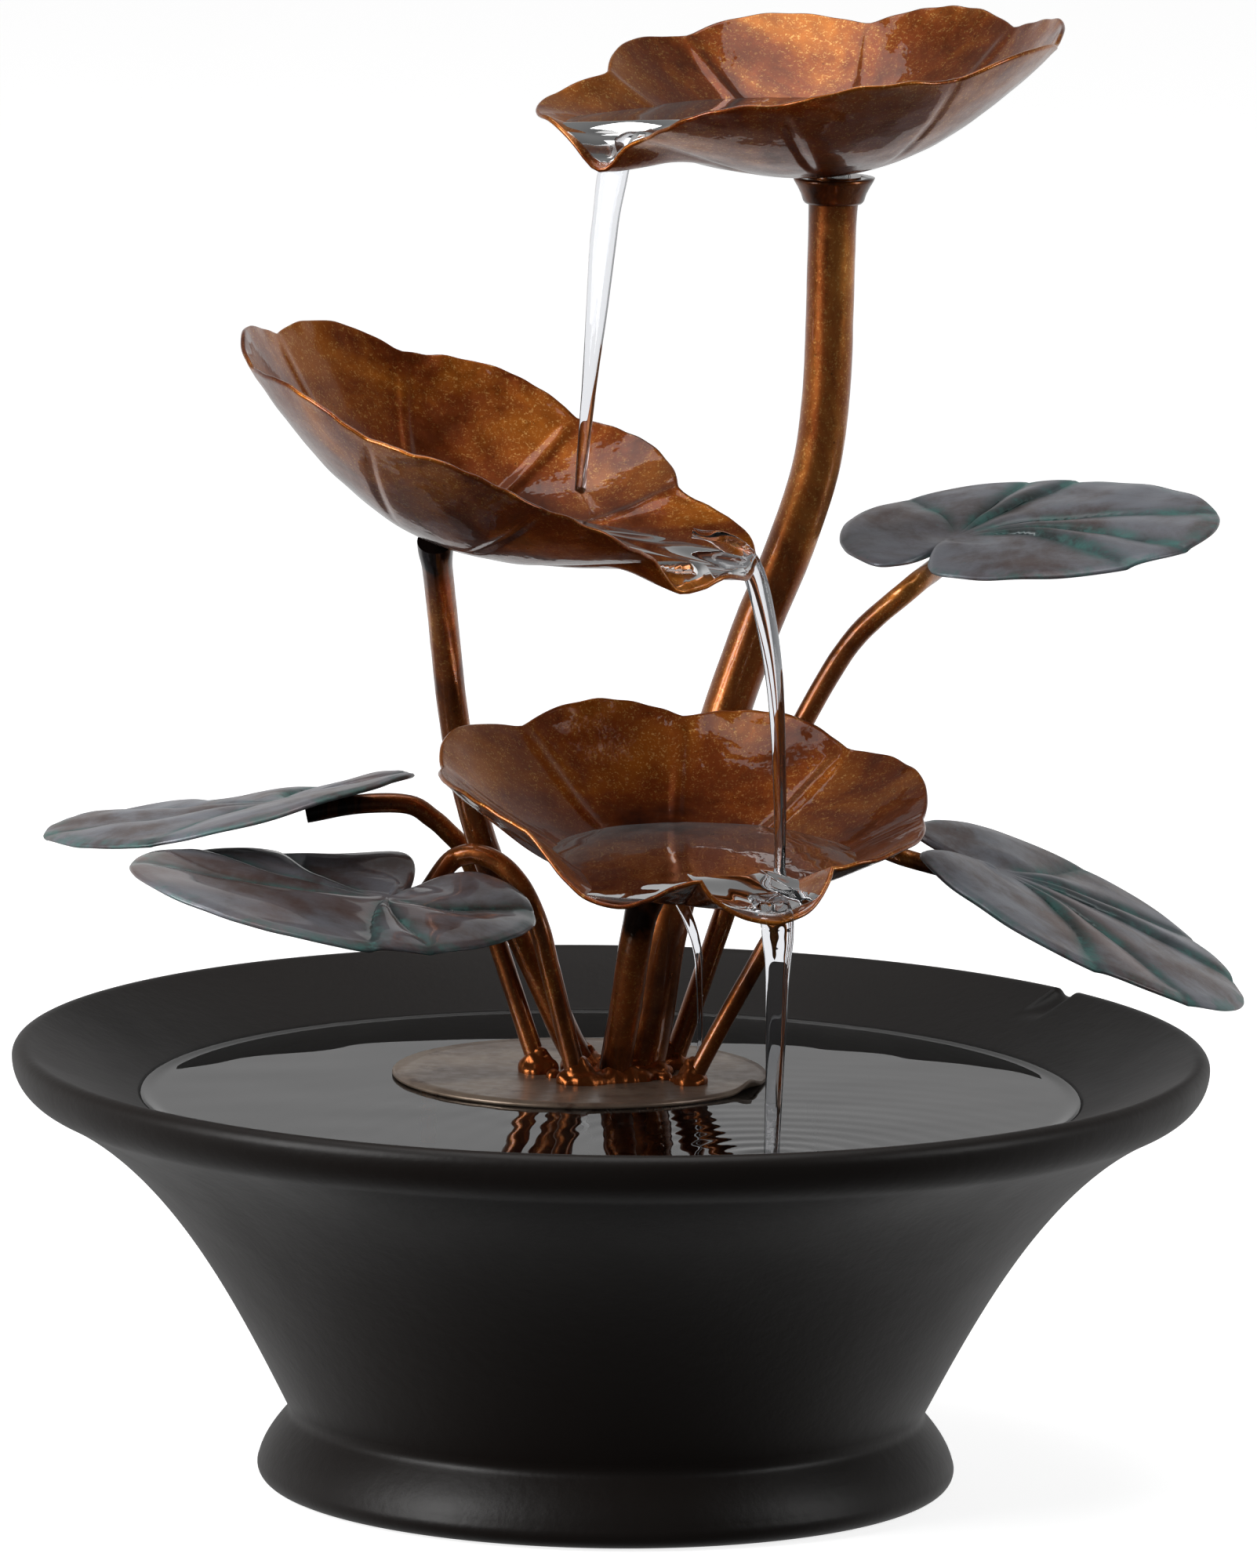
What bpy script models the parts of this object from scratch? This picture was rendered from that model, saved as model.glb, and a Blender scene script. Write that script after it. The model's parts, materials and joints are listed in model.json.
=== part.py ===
"""Tabletop water fountain: a flared basin, a submersible pump under a round base plate, and a welded
metal plant of three pouring dishes and four lily-pad leaves on bent stems.

Metres, +Z up. The origin is on the basin's axis, on the surface that the fountain stands on.
The front of the fountain faces -Y.
"""

import math

import bmesh
import bpy
from mathutils import Euler, Matrix, Vector

MM = 0.001
GAP = 0.0003

# ---- basin ----
RIM_RADIUS = 0.1145
RIM_HEIGHT = 0.0847
LIP_RADIUS = 0.0023
UNDERLIP_RADIUS = 0.0083
LIP_CENTRE_HEIGHT = RIM_HEIGHT - LIP_RADIUS
THROAT_RADIUS = 0.06085
THROAT_HEIGHT = 0.0142
FOOT_RADIUS = 0.06685
FOOT_EDGE_RADIUS = 0.003
FOOT_UNDERSIDE = 0.0004
PAD_RECESS_RADIUS = 0.0600
PAD_RECESS_DEPTH = 0.0012
FLOOR_HEIGHT = 0.0100
FLOOR_RADIUS = 0.0500
FLOOR_FILLET = 0.0060
WATER_LINE_RADIUS = 0.0905
WATER_LINE_HEIGHT = 0.0756
BASIN_SEGMENTS = 48
NOTCH_ANGLE = math.radians(37.6)
NOTCH_RADIUS = 0.0036
FELT_RADIUS = 0.0595
FELT_THICKNESS = 0.0013

# ---- pump: the rotor axis runs along X ----
PUMP_Y = 0.0190
PUMP_AXIS_HEIGHT = 0.0288
PUMP_WIDTH = 0.0280
PUMP_HEIGHT = 0.0290
PUMP_EDGE = 0.0022
MOTOR_FRONT = 0.0116
MOTOR_BACK = 0.0400
MOTOR_WALL = 0.0020
WELL_BORE = 0.0067
WELL_OUTSIDE = 0.0082
WELL_END = 0.0300
WELL_END_WALL = 0.0012
VOLUTE_FRONT = 0.0000
VOLUTE_BACK = 0.0113
VOLUTE_CAVITY = 0.0113
INTAKE_EYE = 0.0040
OUTLET_X = 0.0056
NOZZLE_RADIUS = 0.0048
NOZZLE_BORE = 0.0035
NOZZLE_TOP = 0.0570
INTAKE_DEPTH = 0.0036
SUCTION_CUP_RADIUS = 0.0045
SHAFT_RADIUS = 0.0010
SHAFT_HOLE = 0.0014
MAGNET_RADIUS = 0.0061
IMPELLER_RADIUS = 0.0098
SEAL_RADIUS = 0.01275
SEAL_THICKNESS = 0.0007
BLADES = 6

# ---- plant ----
PLATE_TOP = 0.0763
PLATE_THICKNESS = 0.0010
PLATE_RADIUS = 0.0360
PLATE_CENTRE = (-0.0060, 0.0200)
PLATE_HOLE = 0.0051
LEG_RING = 0.0290
LEG_RADIUS = 0.0016
MAIN_STEM_RADIUS = 0.0046
MAIN_STEM_BORE = 0.0035
HOSE_RADIUS = 0.00312
HOSE_BORE = 0.00195

DISH_SHEET = 0.0012
DISH_RADIUS = 0.0450
DISH_DEPTH = 0.0200
DISH_CURVE = 1.9
DISH_LOBES = 8
LOBE_BULGE = 0.0022
LOBE_LIFT = 0.0026
DISH_SPOKES = 40
DISH_RINGS = 5

LEAF_SHEET = 0.0009
LEAF_SPOKES = 30
LEAF_RINGS = 3
LEAF_BEND_SPAN = 0.0300


# ---------------------------------------------------------------- materials

def finish(name, colour, roughness, metallic):
    """A plain Principled material."""
    material = bpy.data.materials.new(name)
    material.use_nodes = True
    shader = material.node_tree.nodes["Principled BSDF"]
    shader.inputs["Base Color"].default_value = (*colour, 1.0)
    shader.inputs["Roughness"].default_value = roughness
    shader.inputs["Metallic"].default_value = metallic
    material.diffuse_color = (*colour, 1.0)
    return material


def make_finishes():
    return {
        "bowl": finish("basin_charcoal", (0.020, 0.017, 0.016), 0.42, 0.0),
        "felt": finish("foot_felt", (0.03, 0.03, 0.03), 0.95, 0.0),
        "copper": finish("stem_copper_bronze", (0.33, 0.12, 0.04), 0.30, 0.9),
        "dish": finish("dish_copper_lacquer", (0.36, 0.13, 0.03), 0.25, 0.9),
        "leaf": finish("leaf_patina", (0.10, 0.10, 0.105), 0.50, 0.6),
        "plate": finish("base_plate_brown", (0.16, 0.12, 0.09), 0.45, 0.6),
        "plastic": finish("pump_plastic", (0.012, 0.012, 0.013), 0.40, 0.0),
        "grey": finish("impeller_plastic", (0.55, 0.56, 0.58), 0.35, 0.0),
        "rubber": finish("pump_rubber", (0.02, 0.02, 0.02), 0.75, 0.0),
        "magnet": finish("ferrite_magnet", (0.05, 0.05, 0.055), 0.45, 0.2),
        "steel": finish("shaft_steel", (0.62, 0.62, 0.62), 0.22, 1.0),
        "iron": finish("stator_laminations", (0.35, 0.35, 0.36), 0.40, 1.0),
        "coil": finish("coil_winding", (0.48, 0.20, 0.07), 0.35, 0.8),
        "vinyl": finish("clear_vinyl", (0.80, 0.84, 0.84), 0.15, 0.0),
    }


# ---------------------------------------------------------------- mesh helpers

def add_object(name, mesh, material, place=(0, 0, 0), turn=(0, 0, 0), sharp=35):
    """Puts a mesh into the scene as a named sub-part, shaded smooth between its sharp edges."""
    mesh.materials.append(material)
    mesh.shade_smooth()
    mesh.set_sharp_from_angle(angle=math.radians(sharp))
    obj = bpy.data.objects.new(name, mesh)
    obj.location = place
    obj.rotation_euler = Euler(turn)
    bpy.context.scene.collection.objects.link(obj)
    return obj


def mesh_from(name, points, faces, outward=True):
    """A mesh from points and faces; a closed one gets its faces turned outwards."""
    mesh = bpy.data.meshes.new(name)
    mesh.from_pydata([tuple(p) for p in points], [], faces)
    if outward:
        work = bmesh.new()
        work.from_mesh(mesh)
        bmesh.ops.recalc_face_normals(work, faces=work.faces)
        work.to_mesh(mesh)
        work.free()
    return mesh


def arc(centre, radius, start, end, steps):
    """Points (r, z) on an arc, angles in degrees, both ends included."""
    points = []
    for i in range(steps + 1):
        angle = math.radians(start + (end - start) * i / steps)
        points.append((centre[0] + radius * math.cos(angle), centre[1] + radius * math.sin(angle)))
    return points


def bezier(p0, p1, p2, p3, steps):
    """Points on a cubic curve, both ends included."""
    points = []
    for i in range(steps + 1):
        t = i / steps
        weights = ((1 - t) ** 3, 3 * t * (1 - t) ** 2, 3 * t * t * (1 - t), t ** 3)
        points.append(tuple(sum(w * p[k] for w, p in zip(weights, (p0, p1, p2, p3))) for k in (0, 1)))
    return points


def turned(name, profile, segments):
    """A closed body turned about Z from (r, z) points; a point at r = 0 closes on the axis."""
    points = []
    rings = []
    for radius, height in profile:
        if radius == 0:
            rings.append([len(points)] * segments)
            points.append((0, 0, height))
            continue
        rings.append(list(range(len(points), len(points) + segments)))
        for i in range(segments):
            angle = 2 * math.pi * i / segments
            points.append((radius * math.cos(angle), radius * math.sin(angle), height))
    on_axis = profile[0][0] == 0 and profile[-1][0] == 0
    pairs = list(zip(rings, rings[1:]))
    if not on_axis:
        pairs.append((rings[-1], rings[0]))
    faces = []
    for low, high in pairs:
        for i in range(segments):
            j = (i + 1) % segments
            face = list(dict.fromkeys((low[i], low[j], high[j], high[i])))
            faces.append(face)
    return mesh_from(name, points, faces)


def lay_along_x(mesh):
    """Turns a mesh made about Z so that its axis runs along +X."""
    mesh.transform(Matrix.Rotation(math.radians(90), 4, "Y"))
    return mesh


def rod_mesh(name, radius, length, segments, bore=0.0):
    """A round rod or tube from z = 0 to its length."""
    if bore:
        return turned(name, [(bore, 0), (radius, 0), (radius, length), (bore, length)], segments)
    return turned(name, [(0, 0), (radius, 0), (radius, length), (0, length)], segments)


def block_mesh(name, low, high, edge=0.0):
    """A box between two corners, with its edges bevelled by a width."""
    work = bmesh.new()
    bmesh.ops.create_cube(work, size=1.0)
    size = [high[k] - low[k] for k in range(3)]
    middle = [(high[k] + low[k]) / 2 for k in range(3)]
    bmesh.ops.scale(work, vec=size, verts=work.verts)
    bmesh.ops.translate(work, vec=middle, verts=work.verts)
    if edge:
        bmesh.ops.bevel(work, geom=work.edges, offset=edge, segments=2, profile=0.5, affect="EDGES")
    mesh = bpy.data.meshes.new(name)
    work.to_mesh(mesh)
    work.free()
    return mesh


def helper(name, mesh, place=(0, 0, 0), turn=(0, 0, 0)):
    """A cutter or an addition that isn't a sub-part of its own."""
    obj = bpy.data.objects.new(name, mesh)
    obj.location = place
    obj.rotation_euler = Euler(turn)
    obj.hide_render = True
    obj.display_type = "WIRE"
    bpy.context.scene.collection.objects.link(obj)
    return obj


def combine(obj, other, operation):
    modifier = obj.modifiers.new(other.name, "BOOLEAN")
    modifier.solver = "EXACT"
    modifier.operation = operation
    modifier.object = other


def smooth_route(points, steps):
    """Points along a smooth curve that passes through the route's own points."""
    knots = [Vector(p) for p in points]
    ends = [knots[0] * 2 - knots[1]] + knots + [knots[-1] * 2 - knots[-2]]
    route = []
    for i in range(1, len(ends) - 2):
        a, b, c, d = ends[i - 1:i + 3]
        for k in range(steps):
            t = k / steps
            route.append(0.5 * (2 * b + (c - a) * t + (2 * a - 5 * b + 4 * c - d) * t ** 2
                                + (3 * b - a - 3 * c + d) * t ** 3))
    route.append(knots[-1])
    return route


def swept(name, route, radius, sides, bore=0.0, level_foot=True, top_normal=None):
    """A round rod or tube swept along a route, without twist. Its foot can be cut level."""
    tangents = []
    for i in range(len(route)):
        ahead = route[min(i + 1, len(route) - 1)]
        behind = route[max(i - 1, 0)]
        tangents.append((ahead - behind).normalized())
    if level_foot:
        tangents[0] = Vector((0, 0, 1))
    if top_normal is not None:
        tangents[-1] = Vector(top_normal).normalized()
    side = Vector((1, 0, 0))
    layers = []
    for centre, tangent in zip(route, tangents):
        side = (side - tangent * side.dot(tangent)).normalized()
        layers.append((centre, side.copy(), tangent.cross(side)))
    points = []
    for wall in ([radius, bore] if bore else [radius]):
        for centre, across, up in layers:
            for k in range(sides):
                angle = 2 * math.pi * k / sides
                points.append(centre + wall * (math.cos(angle) * across + math.sin(angle) * up))
    count = len(layers)
    faces = []
    for wall in range(2 if bore else 1):
        start = wall * count * sides
        for j in range(count - 1):
            for k in range(sides):
                a = start + j * sides + k
                b = start + j * sides + (k + 1) % sides
                faces.append((a, b, b + sides, a + sides))
    last = (count - 1) * sides
    if bore:
        inner = count * sides
        for ring in (0, last):
            for k in range(sides):
                n = (k + 1) % sides
                faces.append((ring + k, ring + n, inner + ring + n, inner + ring + k))
    else:
        faces.append(tuple(range(sides)))
        faces.append(tuple(last + k for k in range(sides)))
    return mesh_from(name, points, faces)


# ---------------------------------------------------------------- basin

def basin_profile():
    """The basin's section from the middle of its underside, out, up and over to the middle of its floor."""
    recess_top = FOOT_UNDERSIDE + PAD_RECESS_DEPTH
    underside = [(0, recess_top), (PAD_RECESS_RADIUS, recess_top), (PAD_RECESS_RADIUS, FOOT_UNDERSIDE)]
    edge_centre = (FOOT_RADIUS - FOOT_EDGE_RADIUS, FOOT_UNDERSIDE + FOOT_EDGE_RADIUS)
    foot = arc(edge_centre, FOOT_EDGE_RADIUS, -90, 40, 4)
    throat = [(THROAT_RADIUS, THROAT_HEIGHT)]
    wall = bezier(throat[0], (0.0738, 0.0401), (0.0865, 0.0634), (0.10984, 0.07494), 8)[1:]
    under_lip = arc((RIM_RADIUS - UNDERLIP_RADIUS, LIP_CENTRE_HEIGHT), UNDERLIP_RADIUS, -64, 0, 4)[1:]
    lip = arc((RIM_RADIUS - LIP_RADIUS, LIP_CENTRE_HEIGHT), LIP_RADIUS, 0, 114, 4)[1:]
    shelf_end = (WATER_LINE_RADIUS, WATER_LINE_HEIGHT)
    shelf = bezier(lip[-1], (0.1045, 0.0812), (0.0975, 0.0785), shelf_end, 3)[1:]
    floor_edge = (FLOOR_RADIUS + FLOOR_FILLET, FLOOR_HEIGHT + FLOOR_FILLET)
    inner_wall = bezier(shelf_end, (0.0820, 0.0705), (0.0650, 0.0400), floor_edge, 6)[1:]
    fillet = arc((FLOOR_RADIUS, FLOOR_HEIGHT + FLOOR_FILLET), FLOOR_FILLET, 0, -90, 3)[1:]
    outside = underside + foot + throat + wall + under_lip
    return outside + lip + shelf + inner_wall + fillet + [(0, FLOOR_HEIGHT)]


def make_basin(looks):
    basin = add_object("basin", turned("basin", basin_profile(), BASIN_SEGMENTS), looks["bowl"])
    length = 0.014
    inner_end = RIM_RADIUS - length * 0.75
    place = (inner_end * math.cos(NOTCH_ANGLE), inner_end * math.sin(NOTCH_ANGLE), RIM_HEIGHT + 0.0012)
    mesh = lay_along_x(rod_mesh("rim_notch_cutter", NOTCH_RADIUS, length, 12))
    combine(basin, helper("rim_notch_cutter", mesh, place, (0, 0, NOTCH_ANGLE)), "DIFFERENCE")
    add_object("felt_base_pad", rod_mesh("felt_base_pad", FELT_RADIUS, FELT_THICKNESS, 40), looks["felt"])


# ---------------------------------------------------------------- pump

def pump_point(x, y=0.0, z=0.0):
    """A point given from the rotor's axis."""
    return (x, PUMP_Y + y, PUMP_AXIS_HEIGHT + z)


def pump_block(name, x0, x1, half_width, half_height, edge=0.0):
    """A block centred on the rotor's axis between two stations along it."""
    return block_mesh(name, (x0, -half_width, -half_height), (x1, half_width, half_height), edge)


def axial(name, profile, segments):
    """A body turned about the rotor's axis from (radius, station) points."""
    return lay_along_x(turned(name, profile, segments))


def make_motor(looks):
    half_width = PUMP_WIDTH / 2
    half_height = PUMP_HEIGHT / 2
    axis = pump_point(0)
    housing = add_object("pump_housing", pump_block("pump_housing", MOTOR_FRONT, MOTOR_BACK, half_width,
                                                    half_height, PUMP_EDGE), looks["plastic"], axis)
    inside = pump_block("motor_space", MOTOR_FRONT + MOTOR_WALL, MOTOR_BACK + MOTOR_WALL,
                        half_width - MOTOR_WALL, half_height - MOTOR_WALL)
    combine(housing, helper("motor_space", inside, axis), "DIFFERENCE")
    well_start = MOTOR_FRONT + MOTOR_WALL / 2
    well_back = WELL_END + WELL_END_WALL
    well_wall = axial("well_wall", [(0, well_start), (WELL_OUTSIDE, well_start), (WELL_OUTSIDE, well_back),
                                    (0, well_back)], 20)
    combine(housing, helper("well_wall", well_wall, axis), "UNION")
    well = axial("well_bore", [(0, MOTOR_FRONT - MOTOR_WALL), (WELL_BORE, MOTOR_FRONT - MOTOR_WALL),
                               (WELL_BORE, WELL_END), (0, WELL_END)], 20)
    combine(housing, helper("well_bore", well, axis), "DIFFERENCE")

    limb_inside = WELL_OUTSIDE + GAP
    limb_outside = half_height - MOTOR_WALL - GAP * 2
    yoke_front = 0.0342
    yoke_back = 0.0368
    core_half_width = 0.005
    block = block_mesh("stator_core", (MOTOR_FRONT + MOTOR_WALL + GAP, -core_half_width, -limb_outside),
                       (yoke_back, core_half_width, limb_outside))
    core = add_object("stator_core", block, looks["iron"], axis)
    window = block_mesh("core_window", (0, -0.01, -limb_inside), (yoke_front, 0.01, limb_inside))
    combine(core, helper("core_window", window, axis), "DIFFERENCE")
    coil_half = 0.0072
    coil_half_width = 0.0095
    coil_back = 0.0385
    block = block_mesh("stator_coil", (well_back + GAP, -coil_half_width, -coil_half),
                       (coil_back, coil_half_width, coil_half), 0.0008)
    coil = add_object("stator_coil", block, looks["coil"], axis)
    clear = 0.00035
    limb = block_mesh("coil_window", (yoke_front - clear, -core_half_width - clear, -0.012),
                      (yoke_back + clear, core_half_width + clear, 0.012))
    combine(coil, helper("coil_window", limb, axis), "DIFFERENCE")
    cover_half = half_width - MOTOR_WALL - GAP
    add_object("motor_back_cover", pump_block("motor_back_cover", 0.0388, MOTOR_BACK, cover_half,
                                              half_height - MOTOR_WALL - GAP), looks["plastic"], axis)
    gland = axial("cord_gland", [(0, 0), (0.0042, 0), (0.0042, 0.0015), (0.0036, 0.0055), (0.0024, 0.0055),
                                 (0.0024, 0.0012), (0, 0.0012)], 12)
    add_object("pump_cord_gland", gland, looks["rubber"], pump_point(MOTOR_BACK + GAP, 0, 0.0065))


def make_rotor(looks):
    """The rotor turns about its shaft; its two pieces have their origins on the axis."""
    axis = pump_point(0)
    rod = lay_along_x(rod_mesh("rotor_shaft", SHAFT_RADIUS, 0.0261, 10))
    add_object("rotor_shaft", rod, looks["steel"], pump_point(0.0018))
    bush = axial("shaft_rear_bush", [(SHAFT_HOLE, 0), (0.0030, 0), (0.0030, 0.0014),
                                     (0, 0.0014), (0, 0.0011), (SHAFT_HOLE, 0.0011)], 12)
    add_object("shaft_rear_bush", bush, looks["rubber"], pump_point(WELL_END - 0.0029))
    stop = axial("shaft_front_stop", [(0, 0), (0.0021, 0), (0.0021, 0.0014), (SHAFT_HOLE, 0.0014),
                                      (SHAFT_HOLE, 0.0004), (0, 0.0004)], 12)
    add_object("shaft_front_stop", stop, looks["rubber"], pump_point(0.0011))
    magnet_front = 0.0118
    magnet_back = 0.0262
    magnet = axial("rotor_magnet", [(SHAFT_HOLE, magnet_front), (MAGNET_RADIUS, magnet_front),
                                    (MAGNET_RADIUS, magnet_back), (SHAFT_HOLE, magnet_back)], 20)
    add_object("rotor_magnet", magnet, looks["magnet"], axis)
    disc_front = 0.0086
    disc_back = 0.0096
    hub = 0.0030
    hub_front = 0.0029
    hub_back = 0.0115
    wheel = axial("impeller", [(SHAFT_HOLE, hub_front), (hub, hub_front), (hub, disc_front),
                               (IMPELLER_RADIUS, disc_front), (IMPELLER_RADIUS, disc_back), (hub, disc_back),
                               (hub, hub_back), (SHAFT_HOLE, hub_back)], 24)
    impeller = add_object("impeller", wheel, looks["grey"], axis)
    for i in range(BLADES):
        blade = block_mesh("blade", (0.0034, -0.0004, hub - 0.0006), (disc_front + 0.0005, 0.0004, 0.0095))
        combine(impeller, helper(f"blade_{i + 1}", blade, axis, (2 * math.pi * i / BLADES, 0, 0)), "UNION")


def make_volute(looks):
    half_width = PUMP_WIDTH / 2
    half_height = PUMP_HEIGHT / 2
    axis = pump_point(0)
    volute = add_object("volute_cover", pump_block("volute_cover", VOLUTE_FRONT, VOLUTE_BACK, half_width,
                                                   half_height, PUMP_EDGE), looks["plastic"], axis)
    past_the_back = 0.02
    cavity = axial("volute_cavity", [(0, 0.0010), (VOLUTE_CAVITY, 0.0010), (VOLUTE_CAVITY, past_the_back),
                                     (0, past_the_back)], 24)
    eye_low = axial("intake_eye", [(0, -0.002), (INTAKE_EYE, -0.002), (INTAKE_EYE, 0.002), (0, 0.002)], 16)
    nozzle_height = NOZZLE_TOP - PUMP_AXIS_HEIGHT
    nozzle_foot = half_height - 0.0010
    nozzle = rod_mesh("nozzle_wall", NOZZLE_RADIUS, nozzle_height - nozzle_foot, 16)
    combine(volute, helper("nozzle_wall", nozzle, pump_point(OUTLET_X, 0, nozzle_foot)), "UNION")
    combine(volute, helper("volute_cavity", cavity, axis), "DIFFERENCE")
    combine(volute, helper("intake_eye", eye_low, axis), "DIFFERENCE")
    bore = rod_mesh("nozzle_bore", NOZZLE_BORE, nozzle_height, 16)
    combine(volute, helper("nozzle_bore", bore, pump_point(OUTLET_X, 0, 0.006)), "DIFFERENCE")
    groove_front = VOLUTE_BACK - 0.0013
    inner = SEAL_RADIUS - 0.00065
    outer = SEAL_RADIUS + 0.00065
    groove = axial("seal_groove", [(inner, groove_front), (outer, groove_front), (outer, past_the_back),
                                   (inner, past_the_back)], 32)
    combine(volute, helper("seal_groove", groove, axis), "DIFFERENCE")
    ring = arc((SEAL_RADIUS, VOLUTE_BACK - 0.00055), SEAL_THICKNESS / 2, 0, 315, 7)
    add_object("volute_seal", axial("volute_seal", ring, 32), looks["rubber"], axis)


def make_intake(looks):
    half_width = PUMP_WIDTH / 2
    half_height = PUMP_HEIGHT / 2
    front = -GAP - INTAKE_DEPTH
    axis = pump_point(0)
    block = pump_block("intake_cover", front, -GAP, half_width, half_height, 0.0012)
    cover = add_object("intake_cover", block, looks["plastic"], axis)
    space = pump_block("intake_space", front + 0.0014, GAP, half_width - 0.0016, half_height - 0.0016)
    combine(cover, helper("intake_space", space, axis), "DIFFERENCE")
    for side in (-1, 1):
        for row in range(5):
            height = (row - 2) * 0.0044
            y0 = side * 0.0098
            slot = block_mesh("intake_slot", (front - GAP, y0 - 0.0022, height - 0.0009),
                              (front + 0.002, y0 + 0.0022, height + 0.0009))
            combine(cover, helper(f"intake_slot_{row}_{side}", slot, axis), "DIFFERENCE")
    pivot = axial("dial_pivot", [(0, front - 0.0017), (0.0011, front - 0.0017), (0.0011, front + 0.0007),
                                 (0, front + 0.0007)], 10)
    combine(cover, helper("dial_pivot", pivot, axis), "UNION")
    back = front - GAP
    dial = axial("flow_regulator", [(0.0014, back - 0.0012), (0.0060, back - 0.0012), (0.0060, back),
                                    (0.0014, back)], 20)
    regulator = add_object("flow_regulator", dial, looks["grey"], axis)
    tab = block_mesh("dial_tab", (back - 0.0012, -0.0012, 0.0050), (back, 0.0012, 0.0100))
    combine(regulator, helper("dial_tab", tab, axis), "UNION")


def make_suction_cups(looks):
    profile = [(0, 0.0008), (0.0030, 0), (SUCTION_CUP_RADIUS, 0), (SUCTION_CUP_RADIUS, 0.0004),
               (0.0020, 0.0018), (0.0020, 0.0037), (0, 0.0037)]
    number = 0
    for x in (0.0165, 0.0345):
        for y in (-0.0085, 0.0085):
            number += 1
            name = f"suction_cup_{number}"
            add_object(name, turned(name, profile, 14), looks["rubber"], (x, PUMP_Y + y, FLOOR_HEIGHT + GAP))


# ---------------------------------------------------------------- plant: plate, legs, stems

MAIN_STEM_ROUTE = ((5.6, 19, 57.3), (5.6, 19, 68), (5.8, 19, 77), (7.5, 20, 88), (9.7, 22, 103),
                   (13.5, 26, 117), (17.5, 30, 131), (20.8, 32, 143), (26.9, 34, 161), (32.9, 35, 176),
                   (37.8, 35, 192), (39.6, 35, 207), (40.0, 35, 222), (40.2, 35, 237), (40.5, 35, 247.8))
HOSE_START_HEIGHT = 49.0
HOSE_END = (40.6, 35, 251.6)
LOWER_DISH_ROUTE = ((0.6, 12, 76.6), (1.3, 10, 82), (2.6, 5, 91), (4.0, -2, 103), (5.2, -7, 111),
                    (6.6, -10, 116))
MIDDLE_DISH_ROUTE = ((-5.1, 22, 76.6), (-8.7, 21, 83), (-14.9, 19, 97), (-21.4, 18, 111), (-25.7, 18, 122.3),
                     (-29.2, 17, 135.4), (-31.3, 14, 148), (-32.6, 7, 160.5), (-33.6, -2, 171.5),
                     (-34.4, -11, 180.5), (-34.7, -13.6, 182.9))
UPPER_RIGHT_ROUTE = ((11.6, 25, 76.6), (16, 26, 89.4), (21.2, 27, 105.4), (27.8, 28, 125.2),
                     (35.1, 28, 141.7), (45, 28, 159.1))
LOWER_RIGHT_ROUTE = ((15.4, 8, 76.6), (21.8, 8, 89), (29, 8, 102.4), (34.2, 8, 112), (39, 8.6, 119.5),
                     (45, 10, 123.6))
LEFT_BACK_ROUTE = ((-13.7, 18, 76.6), (-18.1, 20, 89.2), (-21.9, 22, 100), (-25.7, 23, 111.5),
                   (-28.8, 23, 118.5), (-32.1, 22.5, 122.2), (-35, 22.5, 124.7), (-39.7, 22.3, 127.4))
LEFT_FRONT_ROUTE = ((-6.3, 7, 76.6), (-9, 6.5, 87.2), (-12.1, 6, 99.1), (-13.7, 6, 105.5),
                    (-15.7, 6.5, 110.7), (-18.3, 7.5, 115.1), (-21.4, 8.5, 118.1), (-24.9, 9.5, 119.7),
                    (-28, 10.5, 119.8), (-31.6, 10.5, 118))


def in_metres(route):
    return [tuple(value * MM for value in point) for point in route]


def make_plate_and_legs(looks):
    disc = rod_mesh("base_plate", PLATE_RADIUS, PLATE_THICKNESS, 40)
    centre = (*PLATE_CENTRE, PLATE_TOP - PLATE_THICKNESS)
    plate = add_object("base_plate", disc, looks["plate"], centre)
    hole = rod_mesh("stem_hole", PLATE_HOLE, 0.01, 16)
    combine(plate, helper("stem_hole", hole, (0.00565, 0.0190, PLATE_TOP - 0.005)), "DIFFERENCE")
    foot = FLOOR_HEIGHT + GAP
    length = PLATE_TOP - PLATE_THICKNESS - GAP - foot
    for i, degrees in enumerate((60, 180, 300)):
        angle = math.radians(degrees)
        x = PLATE_CENTRE[0] + LEG_RING * math.cos(angle)
        y = PLATE_CENTRE[1] + LEG_RING * math.sin(angle)
        name = f"support_leg_{i + 1}"
        add_object(name, rod_mesh(name, LEG_RADIUS, length, 10), looks["copper"], (x, y, foot))


def make_dish_stems(looks):
    route = smooth_route(in_metres(MAIN_STEM_ROUTE), 1)
    tube = swept("main_stem", route, MAIN_STEM_RADIUS, 14, MAIN_STEM_BORE)
    add_object("main_stem", tube, looks["copper"])
    start = (MAIN_STEM_ROUTE[0][0], MAIN_STEM_ROUTE[0][1], HOSE_START_HEIGHT)
    hose_route = smooth_route(in_metres((start, *MAIN_STEM_ROUTE, HOSE_END)), 1)
    add_object("supply_hose", swept("supply_hose", hose_route, HOSE_RADIUS, 14, HOSE_BORE), looks["vinyl"])
    for name, route, radius, slope in (("lower_dish_stem", LOWER_DISH_ROUTE, 0.0031, LOWER_DISH),
                                       ("middle_dish_stem", MIDDLE_DISH_ROUTE, 0.0029, MIDDLE_DISH)):
        top = slope["frame"].to_3x3() @ Vector((0, 0, 1))
        mesh = swept(name, smooth_route(in_metres(route), 1), radius, 10, top_normal=top)
        add_object(name, mesh, looks["copper"])
    collar = turned("top_dish_collar", [(0.0051, 0), (0.0058, 0), (0.0072, 0.0038), (0.0051, 0.0038)], 16)
    add_object("top_dish_collar", collar, looks["copper"], (0.0404, 0.0350, 0.2433))


# ---------------------------------------------------------------- plant: dishes

def frame_at(centre, degrees):
    """The frame of a dish or a leaf: where its middle is, and how it is turned."""
    turn = Euler([math.radians(angle) for angle in degrees], "XYZ").to_matrix().to_4x4()
    return Matrix.Translation(Vector(centre) * MM) @ turn


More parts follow.
